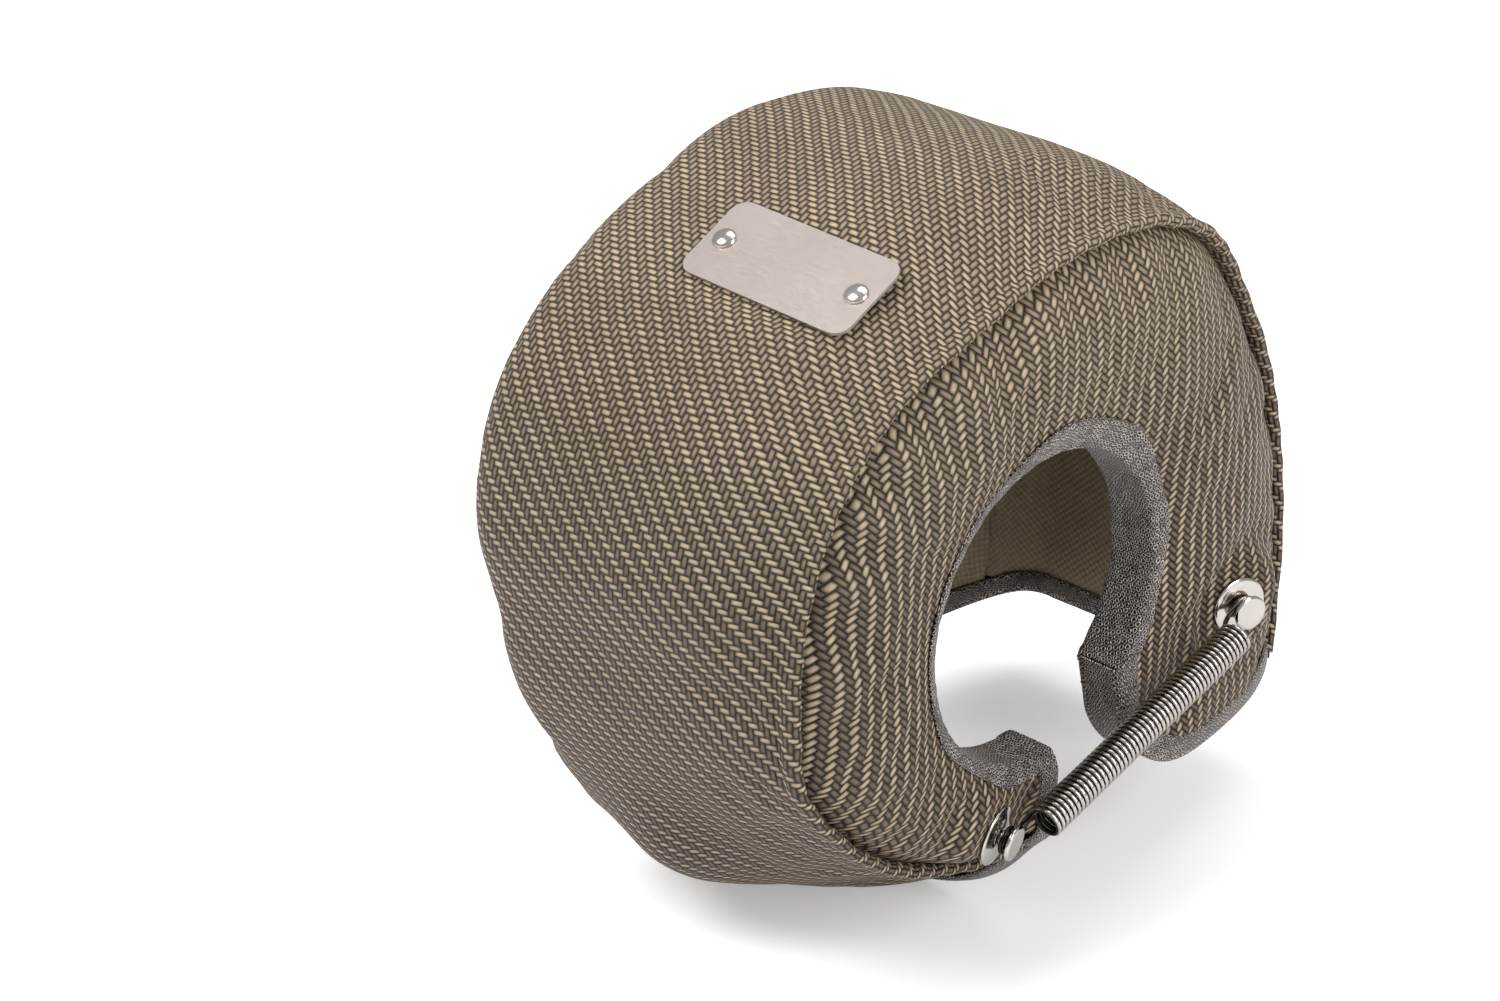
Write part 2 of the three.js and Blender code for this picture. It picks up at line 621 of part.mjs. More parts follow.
const outletWidth = (angle) => lerp(
  OUTLET_EDGING_WIDTH, OUTLET_EDGING_WIDEST, lobe(angle, OUTLET_EDGING_ANGLE, OUTLET_EDGING_SPREAD));
const edgingSpace = neckSpace(EDGING_WIDTH + PLY_GAP).add(wallSpace);
const opening = (section) => largest(solid(ring(section)).subtract(edgingSpace));
add('outlet_edging', opening(edging(facePoint, FINE_FACE, OUTLET_RADIUS, outletWidth)), KNIT);
add('mouth_edging', opening(edging(rearPoint, REAR_STEPS, MOUTH_RADIUS, () => EDGING_WIDTH)), KNIT);
const [leftEdging, rightEdging] = endEdgings();
add('left_end_edging', leftEdging, KNIT);
add('right_end_edging', rightEdging, KNIT);

for (const [name, seat] of Object.entries(seats)) {
  add(`${name}_capstan_washer`, capstanWasher(seat), STEEL);
  add(`${name}_capstan_stud`, capstanStud(seat), STEEL);
  add(`${name}_lock_washer`, lockWasher(seat), STEEL);
}
add('front_spring', spring(face.seats), WIRE_STEEL);
add('rear_spring', spring(rear.seats), WIRE_STEEL);

const plateHoles = ENDS.map((end) => rod(RIVET_RADIUS + FIT, -CUT_REACH, CUT_REACH, rivetFrame(end)));
add('name_plate', plateHoles.reduce((made, hole) => made.subtract(hole), plateBlock(0, 0, PLATE_THICKNESS)), STEEL);
ENDS.forEach((end, i) => {
  add(`plate_rivet_${i + 1}`, rivet(end), STEEL);
  add(`plate_burr_${i + 1}`, burr(end), STEEL);
});

export default group;
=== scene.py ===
"""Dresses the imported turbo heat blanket: woven basalt cloth, knitted wire edging, springs and steel."""

import json
import math

import bpy
import numpy as np
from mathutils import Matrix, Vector


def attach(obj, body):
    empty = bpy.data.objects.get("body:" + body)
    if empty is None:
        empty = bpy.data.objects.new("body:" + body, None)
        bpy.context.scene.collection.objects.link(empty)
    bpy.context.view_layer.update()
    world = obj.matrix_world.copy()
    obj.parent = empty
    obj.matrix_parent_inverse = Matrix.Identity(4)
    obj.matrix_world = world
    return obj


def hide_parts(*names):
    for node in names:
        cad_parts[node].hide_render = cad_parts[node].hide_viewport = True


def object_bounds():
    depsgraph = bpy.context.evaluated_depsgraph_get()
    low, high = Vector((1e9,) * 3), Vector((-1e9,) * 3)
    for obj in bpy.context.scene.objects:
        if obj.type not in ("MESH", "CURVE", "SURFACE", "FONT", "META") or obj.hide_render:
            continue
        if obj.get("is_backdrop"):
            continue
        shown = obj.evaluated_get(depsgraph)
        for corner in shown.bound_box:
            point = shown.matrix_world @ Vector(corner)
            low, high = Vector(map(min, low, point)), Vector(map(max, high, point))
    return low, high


MM = 0.001

# Shape of the wall, in millimetres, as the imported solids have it.
OUTLET_RADIUS = 39.5
FACE_EDGE_X = -7
FACE_PUFF = 6
SEAM_X = -10
SEAM_RADIUS = 84
SEAM_RISES = [
    (-168, -1), (-152, -7), (-130, -13.5), (-110, -18), (-85, -15), (-54, 24), (-35, 44), (-20, 37),
    (5, 24), (30, 15), (52, 14), (85, 3), (107, -2), (140, 2.5), (180, -1),
]
SEAM_SETBACK = 14
SEAM_SETBACK_ANGLE = -10
SEAM_SETBACK_SPREAD = 38
REAR_X = -112
BAND_RADIUS = 98
BAND_RISES = [
    (-168, -11), (-150, -12), (-133, -10), (-119, -8), (-92, -8), (-60, 15), (-38, 34), (-25, 28),
    (-5, 18), (20, 12), (44, 8), (65, 6), (88, 4.5), (110, 1), (145, 2.5), (165, -2), (180, -9.5),
]
SHOULDER_ROUND = 15
SHOULDER_START = 0.85
FRONT_EASE = 7
LOW_EASE = 2.5
LOW_EASE_ANGLE = -130
LOW_EASE_SPREAD = 30
FOLD_HEIGHT = 7.5
FOLD_ANGLE = -131
FOLD_X = -70
FOLD_LENGTH = 14
FOLD_SPREAD = 9
MOUTH_RADIUS = 38
REAR_PUFF = 3
PLY_GAP = 0.3
EDGING_OUT = 1.1
WALL = 11.8
MAT_DEPTH_IN_BAND = 3
MAT_DEPTH_IN_PANELS = 4

# Open ends at the inlet neck: the outline that the neck takes out of the wall.
GAP_LEFT = 4
GAP_RIGHT = 28
GAP_TIP = (37, -56)
NECK_TOP = -63
NECK_ROUND = 15
NECK_SLIT_TOP = -24

# How the springs press the panels.
WASHER_FLAT = 9
WASHER_REACH = 20
LINE_FLAT = 9
LINE_REACH = 22
LINE_DEPTH = 1
EDGE_HELD = 0.25

# Capstans and springs.
WASHER_RADIUS = 7.7
WASHER_THICKNESS = 0.8
WASHER_DOME = 0.6
HEAD_RADIUS = 4.6
HEAD_THICKNESS = 1.1
POST_RADIUS = 2.4
POST_HEIGHT = 2.8
FIT = 0.3
SHOULDER_Z = WASHER_DOME + WASHER_THICKNESS + FIT
HEAD_Z = SHOULDER_Z + POST_HEIGHT
HEAD_TOP = HEAD_Z + HEAD_THICKNESS
WIRE = 1.3
COIL_RADIUS = 4.5
COIL_PITCH = 1.55
HOOK_LENGTH = 9.5
HOOK_BEND = 6
HOOK_TILT = 0.35
HOOK_BEARINGS = (40, 80, 120, 160, 200, 240, 280)

PLATE_CENTRE = (-48.44, -44.783, 87.891)
PLATE_NORMAL = (0.07528, -0.452671, 0.888494)
PLATE_LENGTH = 50
PLATE_WIDTH = 24
PLATE_THICKNESS = 0.8
RIVET_INSET = 5
RIVET_RADIUS = 3.0
RIVET_DOME = 1.35
SHANK_RADIUS = 1.5
STUD_PAST_WALL = 2.0
RIVET_PAST_WALL = 2.6

# Basalt cloth: pitch of its tows, depth of their relief and share of their colour left in the hollows, which
# carry painted shade.
TOW = 1.5
TOW_RELIEF = 0.8
SHADED_HOLLOW_SHARE = 0.02

# Knitted edging: width and thickness, how far the end strips bulge, and how far it starts inside an
# opening or stays off the neck's outline.
KNIT_WIDTH = 7.0
KNIT_BACK = 6
KNIT_THICKNESS = 0.5
END_LIFT = 0.3
KNIT_START = 0.15
KNIT_TRIM = 0.1

# Grids of points: bearings round the blanket, stations along the knitted rings, sides of a turned part.
ROUND_START = -70
ROUND_END = 290
BEARINGS = 481
RING_STATIONS = 541
TURNED_SIDES = 64
WIRE_SIDES = 10
COIL_STEPS = 16
HOOK_POINTS = 90

# Cloth simulation.
SIM_FRAMES = 20
SIM_ROW_STEP = 4
SIM_COLUMN_STEP = 2

RADIAL = np.array([0, 1, 1])
FRONTWARD = (1.0, 0, 0)
REARWARD = (-1.0, 0, 0)

# Photograph's camera, and the point that the lamps are aimed at, in metres.
CAMERA_AZIMUTH = 44.52
CAMERA_ELEVATION = 25.59
CAMERA_EYE = (0.4653, -0.5800, 0.3847)
CAMERA_LENS = 85
LIGHT_TARGET = (-0.05, 0, 0)

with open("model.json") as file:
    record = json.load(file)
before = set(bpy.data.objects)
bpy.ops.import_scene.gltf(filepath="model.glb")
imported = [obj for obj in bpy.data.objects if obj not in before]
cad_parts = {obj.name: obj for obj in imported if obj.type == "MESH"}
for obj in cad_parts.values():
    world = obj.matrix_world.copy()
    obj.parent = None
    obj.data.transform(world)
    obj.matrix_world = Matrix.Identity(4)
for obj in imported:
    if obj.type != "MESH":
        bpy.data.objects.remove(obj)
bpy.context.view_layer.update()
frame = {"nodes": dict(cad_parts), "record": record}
record = frame["record"]
mounts = {m["name"]: m for m in record["mounts"]}


def turn(start, end):
    """Angle from one bearing to another, between -180 and 180."""
    return (end - start + 180) % 360 - 180


def lobe(angle, at, spread):
    return np.exp(-0.5 * (turn(at, angle) / spread) ** 2)


def rise_at(pairs, angle):
    """Smooth closed outline through (angle, rise) pairs."""
    knots = np.array([p[0] for p in pairs], float)
    rises = np.array([p[1] for p in pairs], float)
    bearing = turn(0, np.asarray(angle, float))
    start = np.searchsorted(knots, bearing, side="right") - 1
    a, b, c, d = [(start + step) % len(pairs) for step in (-1, 0, 1, 2)]
    span = turn(knots[b], knots[c])
    t = turn(knots[b], bearing) / span
    slope_in = (rises[c] - rises[a]) / turn(knots[a], knots[c]) * span
    slope_out = (rises[d] - rises[b]) / turn(knots[b], knots[d]) * span
    return ((2 * t**3 - 3 * t**2 + 1) * rises[b] + (t**3 - 2 * t**2 + t) * slope_in
            + (3 * t**2 - 2 * t**3) * rises[c] + (t**3 - t**2) * slope_out)


def smooth(x, low, high):
    t = np.clip((x - low) / (high - low), 0, 1)
    return t * t * (3 - 2 * t)


def seam_radius(angle):
    return SEAM_RADIUS + rise_at(SEAM_RISES, angle)


def band_radius(angle):
    return BAND_RADIUS + rise_at(BAND_RISES, angle)


def seam_x(angle):
    return SEAM_X - SEAM_SETBACK * lobe(angle, SEAM_SETBACK_ANGLE, SEAM_SETBACK_SPREAD)


def band_profile(angle, t):
    """Radius of the band's outside, t running from the seam to the rear corner."""
    seam, full = seam_radius(angle), band_radius(angle)
    ease = FRONT_EASE + (LOW_EASE - FRONT_EASE) * lobe(angle, LOW_EASE_ANGLE, LOW_EASE_SPREAD)
    x = seam_x(angle) + (REAR_X - seam_x(angle)) * t
    fold = (FOLD_HEIGHT * lobe(angle, FOLD_ANGLE, FOLD_SPREAD)
            * np.exp(-0.5 * ((x - FOLD_X) / FOLD_LENGTH) ** 2))
    front = seam + (full - seam) * (1 - (1 - np.minimum(t / SHOULDER_START, 1)) ** ease) + fold
    around = np.clip((t - SHOULDER_START) / (1 - SHOULDER_START), 0, 1)
    held = 1 - smooth(around, 0, 0.6)
    return np.where(t < SHOULDER_START, front,
                    full + fold * held - SHOULDER_ROUND * (1 - np.sqrt(1 - around**2)))


def band_at(angle, t, depth):
    """(x, radius) of the band at a depth below its outside."""
    x = (seam_x(angle) - depth) * (1 - t) + (REAR_X + depth) * t
    return x, band_profile(angle, t) - depth


def puffed(share, height):
    """How far a panel swells between its edges."""
    return height * (1 - np.abs(2 * share - 1) ** 2.5)


class Panel:
    """A ring-shaped panel between two radii, pressed by the spring that crosses it."""

    def __init__(self, outward, inner, outer, free, names):
        self.outward, self.inner, self.outer, self.free = outward, inner, outer, free
        self.seats = []
        for name in names:
            mount = mounts[f"{name}_capstan_head"]
            axis = np.array(mount["axis"], float)
            self.seats.append((np.array(mount["pos_m"], float) / MM - axis * HEAD_TOP, axis))

    def share(self, y, z):
        angle = np.degrees(np.arctan2(z, y))
        return np.clip((np.hypot(y, z) - self.inner) / (self.outer(angle) - self.inner), 0, 1)

    def pressed(self, y, z):
        free = self.free(np.degrees(np.arctan2(z, y)), self.share(y, z))
        (start, _), (end, _) = self.seats
        run = end[1:] - start[1:]
        along = np.clip(((y - start[1]) * run[0] + (z - start[2]) * run[1]) / (run @ run), 0, 1)
        away = np.hypot(y - start[1] - along * run[0], z - start[2] - along * run[1])
        line = start[0] + (end[0] - start[0]) * along - self.outward * LINE_DEPTH
        over = np.maximum(0, (free - line) * self.outward)
        x = free - self.outward * over * (1 - smooth(away, LINE_FLAT, LINE_REACH))
        for base, axis in self.seats:
            plane = base[0] - (axis[1] * (y - base[1]) + axis[2] * (z - base[2])) / axis[0]
            near = np.hypot(y - base[1], z - base[2])
            x = x + (plane - x) * (1 - smooth(near, WASHER_FLAT, WASHER_REACH))
        return x - free

    def at(self, y, z, depth):
        """x of the panel at a depth below its outside, over a point (y, z)."""
        angle = np.degrees(np.arctan2(z, y))
        share = np.clip((np.hypot(y, z) - self.inner) / (self.outer(angle) - depth - self.inner), 0, 1)
        held = (1 - share**8) * smooth(share, 0, EDGE_HELD)
        return self.free(angle, share) + self.pressed(y, z) * held - self.outward * depth


face = Panel(
    1, OUTLET_RADIUS + EDGING_OUT, lambda angle: seam_radius(angle) - PLY_GAP,
    lambda angle, share: (FACE_EDGE_X + (seam_x(angle) - FACE_EDGE_X) * share**1.5
                          + puffed(share, FACE_PUFF)),
    ("front_upper", "front_lower"))
rear = Panel(
    -1, MOUTH_RADIUS + EDGING_OUT, lambda angle: band_radius(angle) - SHOULDER_ROUND - PLY_GAP,
    lambda angle, share: REAR_X - puffed(share, REAR_PUFF),
    ("rear_upper", "rear_lower"))


def right_edge(z, grow):
    """y of the right end's cut edge at a height z."""
    return np.interp(
        z, [NECK_TOP + grow, GAP_TIP[1] + grow, GAP_TIP[1] + NECK_ROUND],
        [GAP_TIP[0] + NECK_ROUND, GAP_TIP[0] + 0.7 * grow, GAP_RIGHT + grow])


def in_neck(y, z, grow):
    """Whether a point lies in the inlet neck's outline, grown by a distance."""
    edge = np.where(z < NECK_TOP + grow, np.inf, right_edge(z, grow))
    return (z < NECK_SLIT_TOP) & (y > GAP_LEFT - grow) & (y < edge)


def wander(points, size, seed):
    """Repeatable smooth unevenness between -1 and 1 over points, with features about size apart."""
    draw = np.random.default_rng(seed)
    total = np.zeros(points.shape[:-1])
    for _ in range(6):
        direction = draw.normal(size=3)
        direction /= np.linalg.norm(direction)
        wave = 2 * math.pi / (size * draw.uniform(0.7, 1.6))
        total += np.sin(points @ direction * wave + draw.uniform(0, 2 * math.pi))
    return total / 3.5


# Meshes.
def add_object(name, data):
    made = bpy.data.objects.new(name, data)
    bpy.context.scene.collection.objects.link(made)
    return made


def make_object(name, points, faces, weave=None):
    """A smoothly shaded mesh object from points in millimetres, with weave coordinates in millimetres."""
    mesh = bpy.data.meshes.new(name)
    places = (np.asarray(points, float) * MM).tolist()
    mesh.from_pydata(places, [], [tuple(int(i) for i in face) for face in faces])
    mesh.update()
    if weave is not None:
        layer = mesh.attributes.new("weave", "FLOAT_VECTOR", "POINT")
        layer.data.foreach_set("vector", np.asarray(weave, np.float32).ravel())
    mesh.shade_smooth()
    return add_object(name, mesh)


def grid_faces(rows, columns, wrap=False):
    i, j = np.meshgrid(np.arange(rows if wrap else rows - 1), np.arange(columns - 1), indexing="ij")
    here, ahead = i * columns + j, (i + 1) % rows * columns + j
    return np.stack([here, ahead, ahead + 1, here + 1], -1).reshape(-1, 4)


def grid_object(name, grid, outward, weave=None, keep=None, wrap=False):
    """An object from a grid of points, rows first, without the faces that keep leaves out.

    outward is a direction, or one for each point, that the faces look along."""
    rows, columns = grid.shape[:2]
    points = grid.reshape(-1, 3)
    faces = grid_faces(rows, columns, wrap)
    ways = np.broadcast_to(outward, grid.shape).reshape(-1, 3)
    corners = points[faces]
    normals = np.cross(corners[:, 2] - corners[:, 0], corners[:, 3] - corners[:, 1])
    if np.sum(normals * ways[faces[:, 0]]) < 0:
        faces = faces[:, ::-1]
    if keep is not None:
        faces = faces[keep.reshape(-1)[faces].all(1)]
    used = np.unique(faces)
    place = np.zeros(len(points), int)
    place[used] = np.arange(len(used))
    faces = place[faces]
    chosen = None if weave is None else weave.reshape(-1, 3)[used]
    return make_object(name, points[used], faces, chosen)


def finish_piece(piece, material, node):
    """Gives a piece its material and body, and hides the CAD node that it stands for."""
    piece.data.materials.append(material)
    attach(piece, "root")
    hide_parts(node)


def thicken(piece, thickness):
    """Thickens a sheet inwards, so that its points stay on the outside."""
    modifier = piece.modifiers.new("thickness", "SOLIDIFY")
    modifier.thickness = thickness * MM
    modifier.offset = -1
    return piece


def to_space(x, radius, angle):
    """Points from an axial place, a radius and a bearing in degrees."""
    a = np.radians(angle)
    return np.stack(np.broadcast_arrays(x, radius * np.cos(a), radius * np.sin(a)), -1)


def run_along(points):
    """Length from the start along a line of points, or along each row of a grid."""
    steps = np.linalg.norm(np.diff(points, axis=-2), axis=-1)
    return np.concatenate([np.zeros((*steps.shape[:-1], 1)), np.cumsum(steps, axis=-1)], axis=-1)


def lathe(name, outline, base, axis):
    """Turns (radius, height) pairs about an axis."""
    turning = np.array(Vector(axis).to_track_quat("Z", "X").to_matrix())
    bearing = np.linspace(0, 2 * math.pi, TURNED_SIDES, endpoint=False)
    outline = np.array(outline, float)
    ring = np.stack([
        np.outer(np.cos(bearing), outline[:, 0]), np.outer(np.sin(bearing), outline[:, 0]),
        np.broadcast_to(outline[:, 1], (TURNED_SIDES, len(outline)))], -1)
    centre = np.array([0, 0, outline[:, 1].mean()])
    piece = grid_object(name, ring @ turning.T + base, (ring - centre) @ turning.T, wrap=True)
    weld = piece.modifiers.new("weld", "WELD")
    weld.merge_threshold = 0.01 * MM
    return piece


def rounded(corners, radius, steps=4):
    """An outline with its inner corners rounded."""
    corners = np.array(corners, float)
    made = [corners[0]]
    for before, corner, after in zip(corners, corners[1:], corners[2:]):
        to_before, to_after = before - corner, after - corner
        cut = min(radius, np.linalg.norm(to_before) * 0.45, np.linalg.norm(to_after) * 0.45)
        first = corner + to_before / np.linalg.norm(to_before) * cut
        last = corner + to_after / np.linalg.norm(to_after) * cut
        for t in np.linspace(0, 1, steps):
            made.append((1 - t) ** 2 * first + 2 * t * (1 - t) * corner + t * t * last)
    made.append(corners[-1])
    return np.array(made)


def along_curve(points, count):
    """Points spread evenly along a smooth curve through points."""
    points = np.asarray(points, float)
    padded = np.vstack([2 * points[0] - points[1], points, 2 * points[-1] - points[-2]])
    dense = []
    for a, b, c, d in zip(padded, padded[1:], padded[2:], padded[3:]):
        for t in np.linspace(0, 1, 8, endpoint=False):
            dense.append(0.5 * (2 * b + (c - a) * t + (2 * a - 5 * b + 4 * c - d) * t * t
                                + (3 * b - a - 3 * c + d) * t**3))
    dense = np.vstack([dense, points[-1]])
    run = run_along(dense)
    at = np.linspace(0, run[-1], count)
    return np.stack([np.interp(at, run, dense[:, k]) for k in range(dense.shape[1])], -1)


def tube(name, points, radius, away_from):
    """A round wire along points, with its ends closed.

    away_from gives the direction out of the coil at a point, and the skin's weave attribute keeps in
    its first number how far the skin faces that way."""
    points = np.asarray(points, float)
    ahead = np.gradient(points, axis=0)
    ahead /= np.linalg.norm(ahead, axis=1)[:, None]
    side = np.cross(ahead[0], [0.3, 0.5, 0.8])
    sides = WIRE_SIDES
    bearing = np.linspace(0, 2 * math.pi, sides, endpoint=False)
    rings, outer = [], []
    for point, direction in zip(points, ahead):
        side = side - direction * (side @ direction)
        side /= np.linalg.norm(side)
        other = np.cross(direction, side)
        skin = np.outer(np.cos(bearing), side) + np.outer(np.sin(bearing), other)
        rings.append(point + radius * skin)
        outer.append(skin @ away_from(point))
    faces = []
    for i in range(len(points) - 1):
        for j in range(sides):
            k = (j + 1) % sides
            faces.append((i * sides + j, i * sides + k, (i + 1) * sides + k, (i + 1) * sides + j))
    last = (len(points) - 1) * sides
    faces.append(tuple(reversed(range(sides))))
    faces.append(tuple(range(last, last + sides)))
    outer = np.concatenate(outer)
    return make_object(name, np.vstack(rings), faces, np.stack([outer, 0 * outer, 0 * outer], -1))


# Materials.
class Graph:
    """Builds one material's node tree."""

    def __init__(self, name):
        self.material = bpy.data.materials.new(name)
        self.material.use_nodes = True
        self.nodes = self.material.node_tree.nodes
        self.links = self.material.node_tree.links
        self.nodes.clear()
        self.shader = self.nodes.new("ShaderNodeBsdfPrincipled")
        output = self.nodes.new("ShaderNodeOutputMaterial")
        self.links.new(self.shader.outputs[0], output.inputs[0])

    def put(self, socket, value):
        if isinstance(value, bpy.types.NodeSocket):
            self.links.new(value, socket)
        else:
            socket.default_value = value

    def math(self, operation, *values):
        node = self.nodes.new("ShaderNodeMath")
        node.operation = operation
        for socket, value in zip(node.inputs, values):
            self.put(socket, value)
        return node.outputs[0]

    def vector(self, x, y, z):
        node = self.nodes.new("ShaderNodeCombineXYZ")
        for socket, value in zip(node.inputs, (x, y, z)):
            self.put(socket, value)
        return node.outputs[0]

    def parts(self, vector):
        node = self.nodes.new("ShaderNodeSeparateXYZ")
        self.put(node.inputs[0], vector)
        return node.outputs

    def attribute(self, name):
        node = self.nodes.new("ShaderNodeAttribute")
        node.attribute_name = name
        return node.outputs["Vector"]

    def place(self):
        return self.nodes.new("ShaderNodeTexCoord").outputs["Object"]

    def noise(self, vector, scale, detail=2.0, roughness=0.5):
        node = self.nodes.new("ShaderNodeTexNoise")
        self.put(node.inputs["Vector"], vector)
        node.inputs["Scale"].default_value = scale
        node.inputs["Detail"].default_value = detail
        node.inputs["Roughness"].default_value = roughness
        return node.outputs["Fac"]

    def grain(self, vector):
        node = self.nodes.new("ShaderNodeTexWhiteNoise")
        self.put(node.inputs["Vector"], vector)
        return node.outputs["Value"]

    def mix(self, share, low, high):
        node = self.nodes.new("ShaderNodeMix")
        node.data_type = "RGBA"
        self.put(node.inputs["Factor"], share)
        self.put(node.inputs[6], low)
        self.put(node.inputs[7], high)
        return node.outputs[2]

    def scaled(self, colour, share):
        """A colour times a number."""
        node = self.nodes.new("ShaderNodeMix")
        node.data_type = "RGBA"
        node.blend_type = "MULTIPLY"
        node.inputs["Factor"].default_value = 1
        self.put(node.inputs[6], colour)
        self.put(node.inputs[7], self.vector(share, share, share))
        return node.outputs[2]

    def ranged(self, value, low, high, to_low, to_high):
        node = self.nodes.new("ShaderNodeMapRange")
        for socket, item in zip(node.inputs, (value, low, high, to_low, to_high)):
            self.put(socket, item)
        return node.outputs[0]

    def bump(self, height, depth, strength=1.0):
        """Relief of a height between 0 and 1, depth millimetres deep."""
        node = self.nodes.new("ShaderNodeBump")
        node.inputs["Strength"].default_value = strength
        node.inputs["Distance"].default_value = depth * MM
        self.put(node.inputs["Height"], height)
        return node.outputs[0]

    def set(self, **values):
        for name, value in values.items():
            self.put(self.shader.inputs[name.replace("_", " ")], value)
        return self.material


def rgb(red, green, blue):
    """Linear colour from the values that a picture shows."""
    def linear(value):
        value /= 255
        return value / 12.92 if value <= 0.04045 else ((value + 0.055) / 1.055) ** 2.4
    return (linear(red), linear(green), linear(blue), 1)


def twill(name, across, along):
    """2/2 twill of glossy tows. across and along are the two sets' colours: painted shade and painted sheen.
    """
    g = Graph(name)
    place = g.place()
    u, v, _ = g.parts(g.attribute("weave"))
    drift = g.noise(place, 55, 1)
    u = g.math("ADD", u, g.math("MULTIPLY", g.math("SUBTRACT", drift, 0.5), 1.3))
    sway = g.noise(g.vector(u, v, 3), 0.06, 1)
    v = g.math("ADD", v, g.math("MULTIPLY", g.math("SUBTRACT", sway, 0.5), 1.3))
    a, b = g.math("DIVIDE", u, TOW), g.math("DIVIDE", v, TOW)
    i, j = g.math("FLOOR", a), g.math("FLOOR", b)

    def pillow(position):
        off = g.math("ABSOLUTE", g.math("SUBTRACT", g.math("MULTIPLY", g.math("FRACT", position), 2), 1))
        return g.math("SUBTRACT", 1, g.math("POWER", off, 2.4))

    def float_height(position, index, start):
        run = g.math("FLOORED_MODULO", g.math("SUBTRACT", g.math("SUBTRACT", position, index), start), 4)
        wave = g.math("MAXIMUM", g.math("SINE", g.math("MULTIPLY", run, math.pi / 2)), 0)
        return g.math("POWER", wave, 0.55)

    first = g.math("MULTIPLY", pillow(a), float_height(b, i, 0))
    second = g.math("MULTIPLY", pillow(b), float_height(a, j, 1))
    height = g.math("MAXIMUM", first, second)
    is_first = g.math("GREATER_THAN", first, second)

    is_second = g.math("SUBTRACT", 1, is_first)
    strand = g.math("ADD", g.math("MULTIPLY", is_first, i), g.math("MULTIPLY", is_second, j))
    tone = g.grain(g.vector(strand, is_first, 0))
    fibre_first = g.noise(g.vector(g.math("MULTIPLY", u, 9), g.math("MULTIPLY", v, 0.8), 0), 1, 1)
    fibre_second = g.noise(g.vector(g.math("MULTIPLY", u, 0.8), g.math("MULTIPLY", v, 9), 7), 1, 1)
    fibre = g.math("ADD", g.math("MULTIPLY", is_first, fibre_first),
                   g.math("MULTIPLY", is_second, fibre_second))

    # Painted sheen on the top of the part: higher up, the across tows take on more of the lighter along
    # colour.
    _, _, height_on_part = g.parts(place)
    top_sheen = g.ranged(height_on_part, 0.025, 0.085, 0, 0.55)
    colour = g.mix(is_first, along, g.mix(top_sheen, across, along))
    # Painted shade: the hollows between the tows keep only a small share of the colour, less towards the
    # bottom of the part, and the lit tops of the tows keep it all.
    hollow_shade = g.ranged(height_on_part, -0.06, 0.085, SHADED_HOLLOW_SHARE, SHADED_HOLLOW_SHARE + 0.1)
    patch = g.noise(place, 22, 3, 0.6)
    colour = g.mix(g.ranged(patch, 0.5, 0.75, 0, 0.35), colour, rgb(126, 98, 78))
    lit = g.ranged(height, 0.25, 0.85, 0, 1)
    share = g.math("ADD", hollow_shade, g.math("MULTIPLY", lit, g.math("SUBTRACT", 1, hollow_shade)))
    share = g.math("MULTIPLY", share, g.ranged(tone, 0, 1, 0.9, 1.1))
    share = g.math("MULTIPLY", share, g.ranged(fibre, 0.3, 0.7, 0.86, 1.12))
    relief_height = g.math("ADD", height, g.math("MULTIPLY", fibre, 0.12))
    return g.set(
        Base_Color=g.scaled(colour, share), Roughness=g.ranged(fibre, 0.3, 0.7, 0.42, 0.6),
        Normal=g.bump(relief_height, TOW_RELIEF), Specular_IOR_Level=0.45)


def knit(name, colour, gap_shade):
    """Knitted stainless wire: small loops in rows, flattened by the seam."""
    g = Graph(name)
    u, v, _ = g.parts(g.attribute("weave"))
    warp = g.noise(g.vector(u, v, 0), 0.16, 2)
    v = g.math("ADD", v, g.math("MULTIPLY", g.noise(g.vector(v, u, 5), 0.3, 2), 1.6))
    u = g.math("ADD", u, g.math("MULTIPLY", warp, 2.2))
    row = g.math("DIVIDE", v, 1.4)
    shift = g.math("MULTIPLY", g.math("FLOORED_MODULO", g.math("FLOOR", row), 2), 0.5)
    column = g.math("ADD", g.math("DIVIDE", u, 1.6), shift)

    def distance(value):
        return g.math("ABSOLUTE", g.math("SUBTRACT", g.math("FRACT", value), 0.5))

    squares = [g.math("POWER", distance(value), 2) for value in (row, column)]
    loop = g.math("SQRT", g.math("ADD", *squares))
    wire = g.ranged(g.math("ABSOLUTE", g.math("SUBTRACT", loop, 0.36)), 0.0, 0.17, 1, 0)
    tone = g.grain(g.vector(g.math("FLOOR", column), g.math("FLOOR", row), 0))
    # Painted shade in the gaps between the loops: they take the second, darker colour and a lower share of
    # it.
    shade = g.math("MULTIPLY", g.ranged(tone, 0, 1, 0.6, 1.2), g.ranged(wire, 0, 1, 0.35, 1))
    return g.set(
        Base_Color=g.scaled(g.mix(wire, gap_shade, colour), shade), Roughness=g.ranged(tone, 0, 1, 0.35, 0.6),
        Metallic=0.35, Normal=g.bump(wire, 0.45))


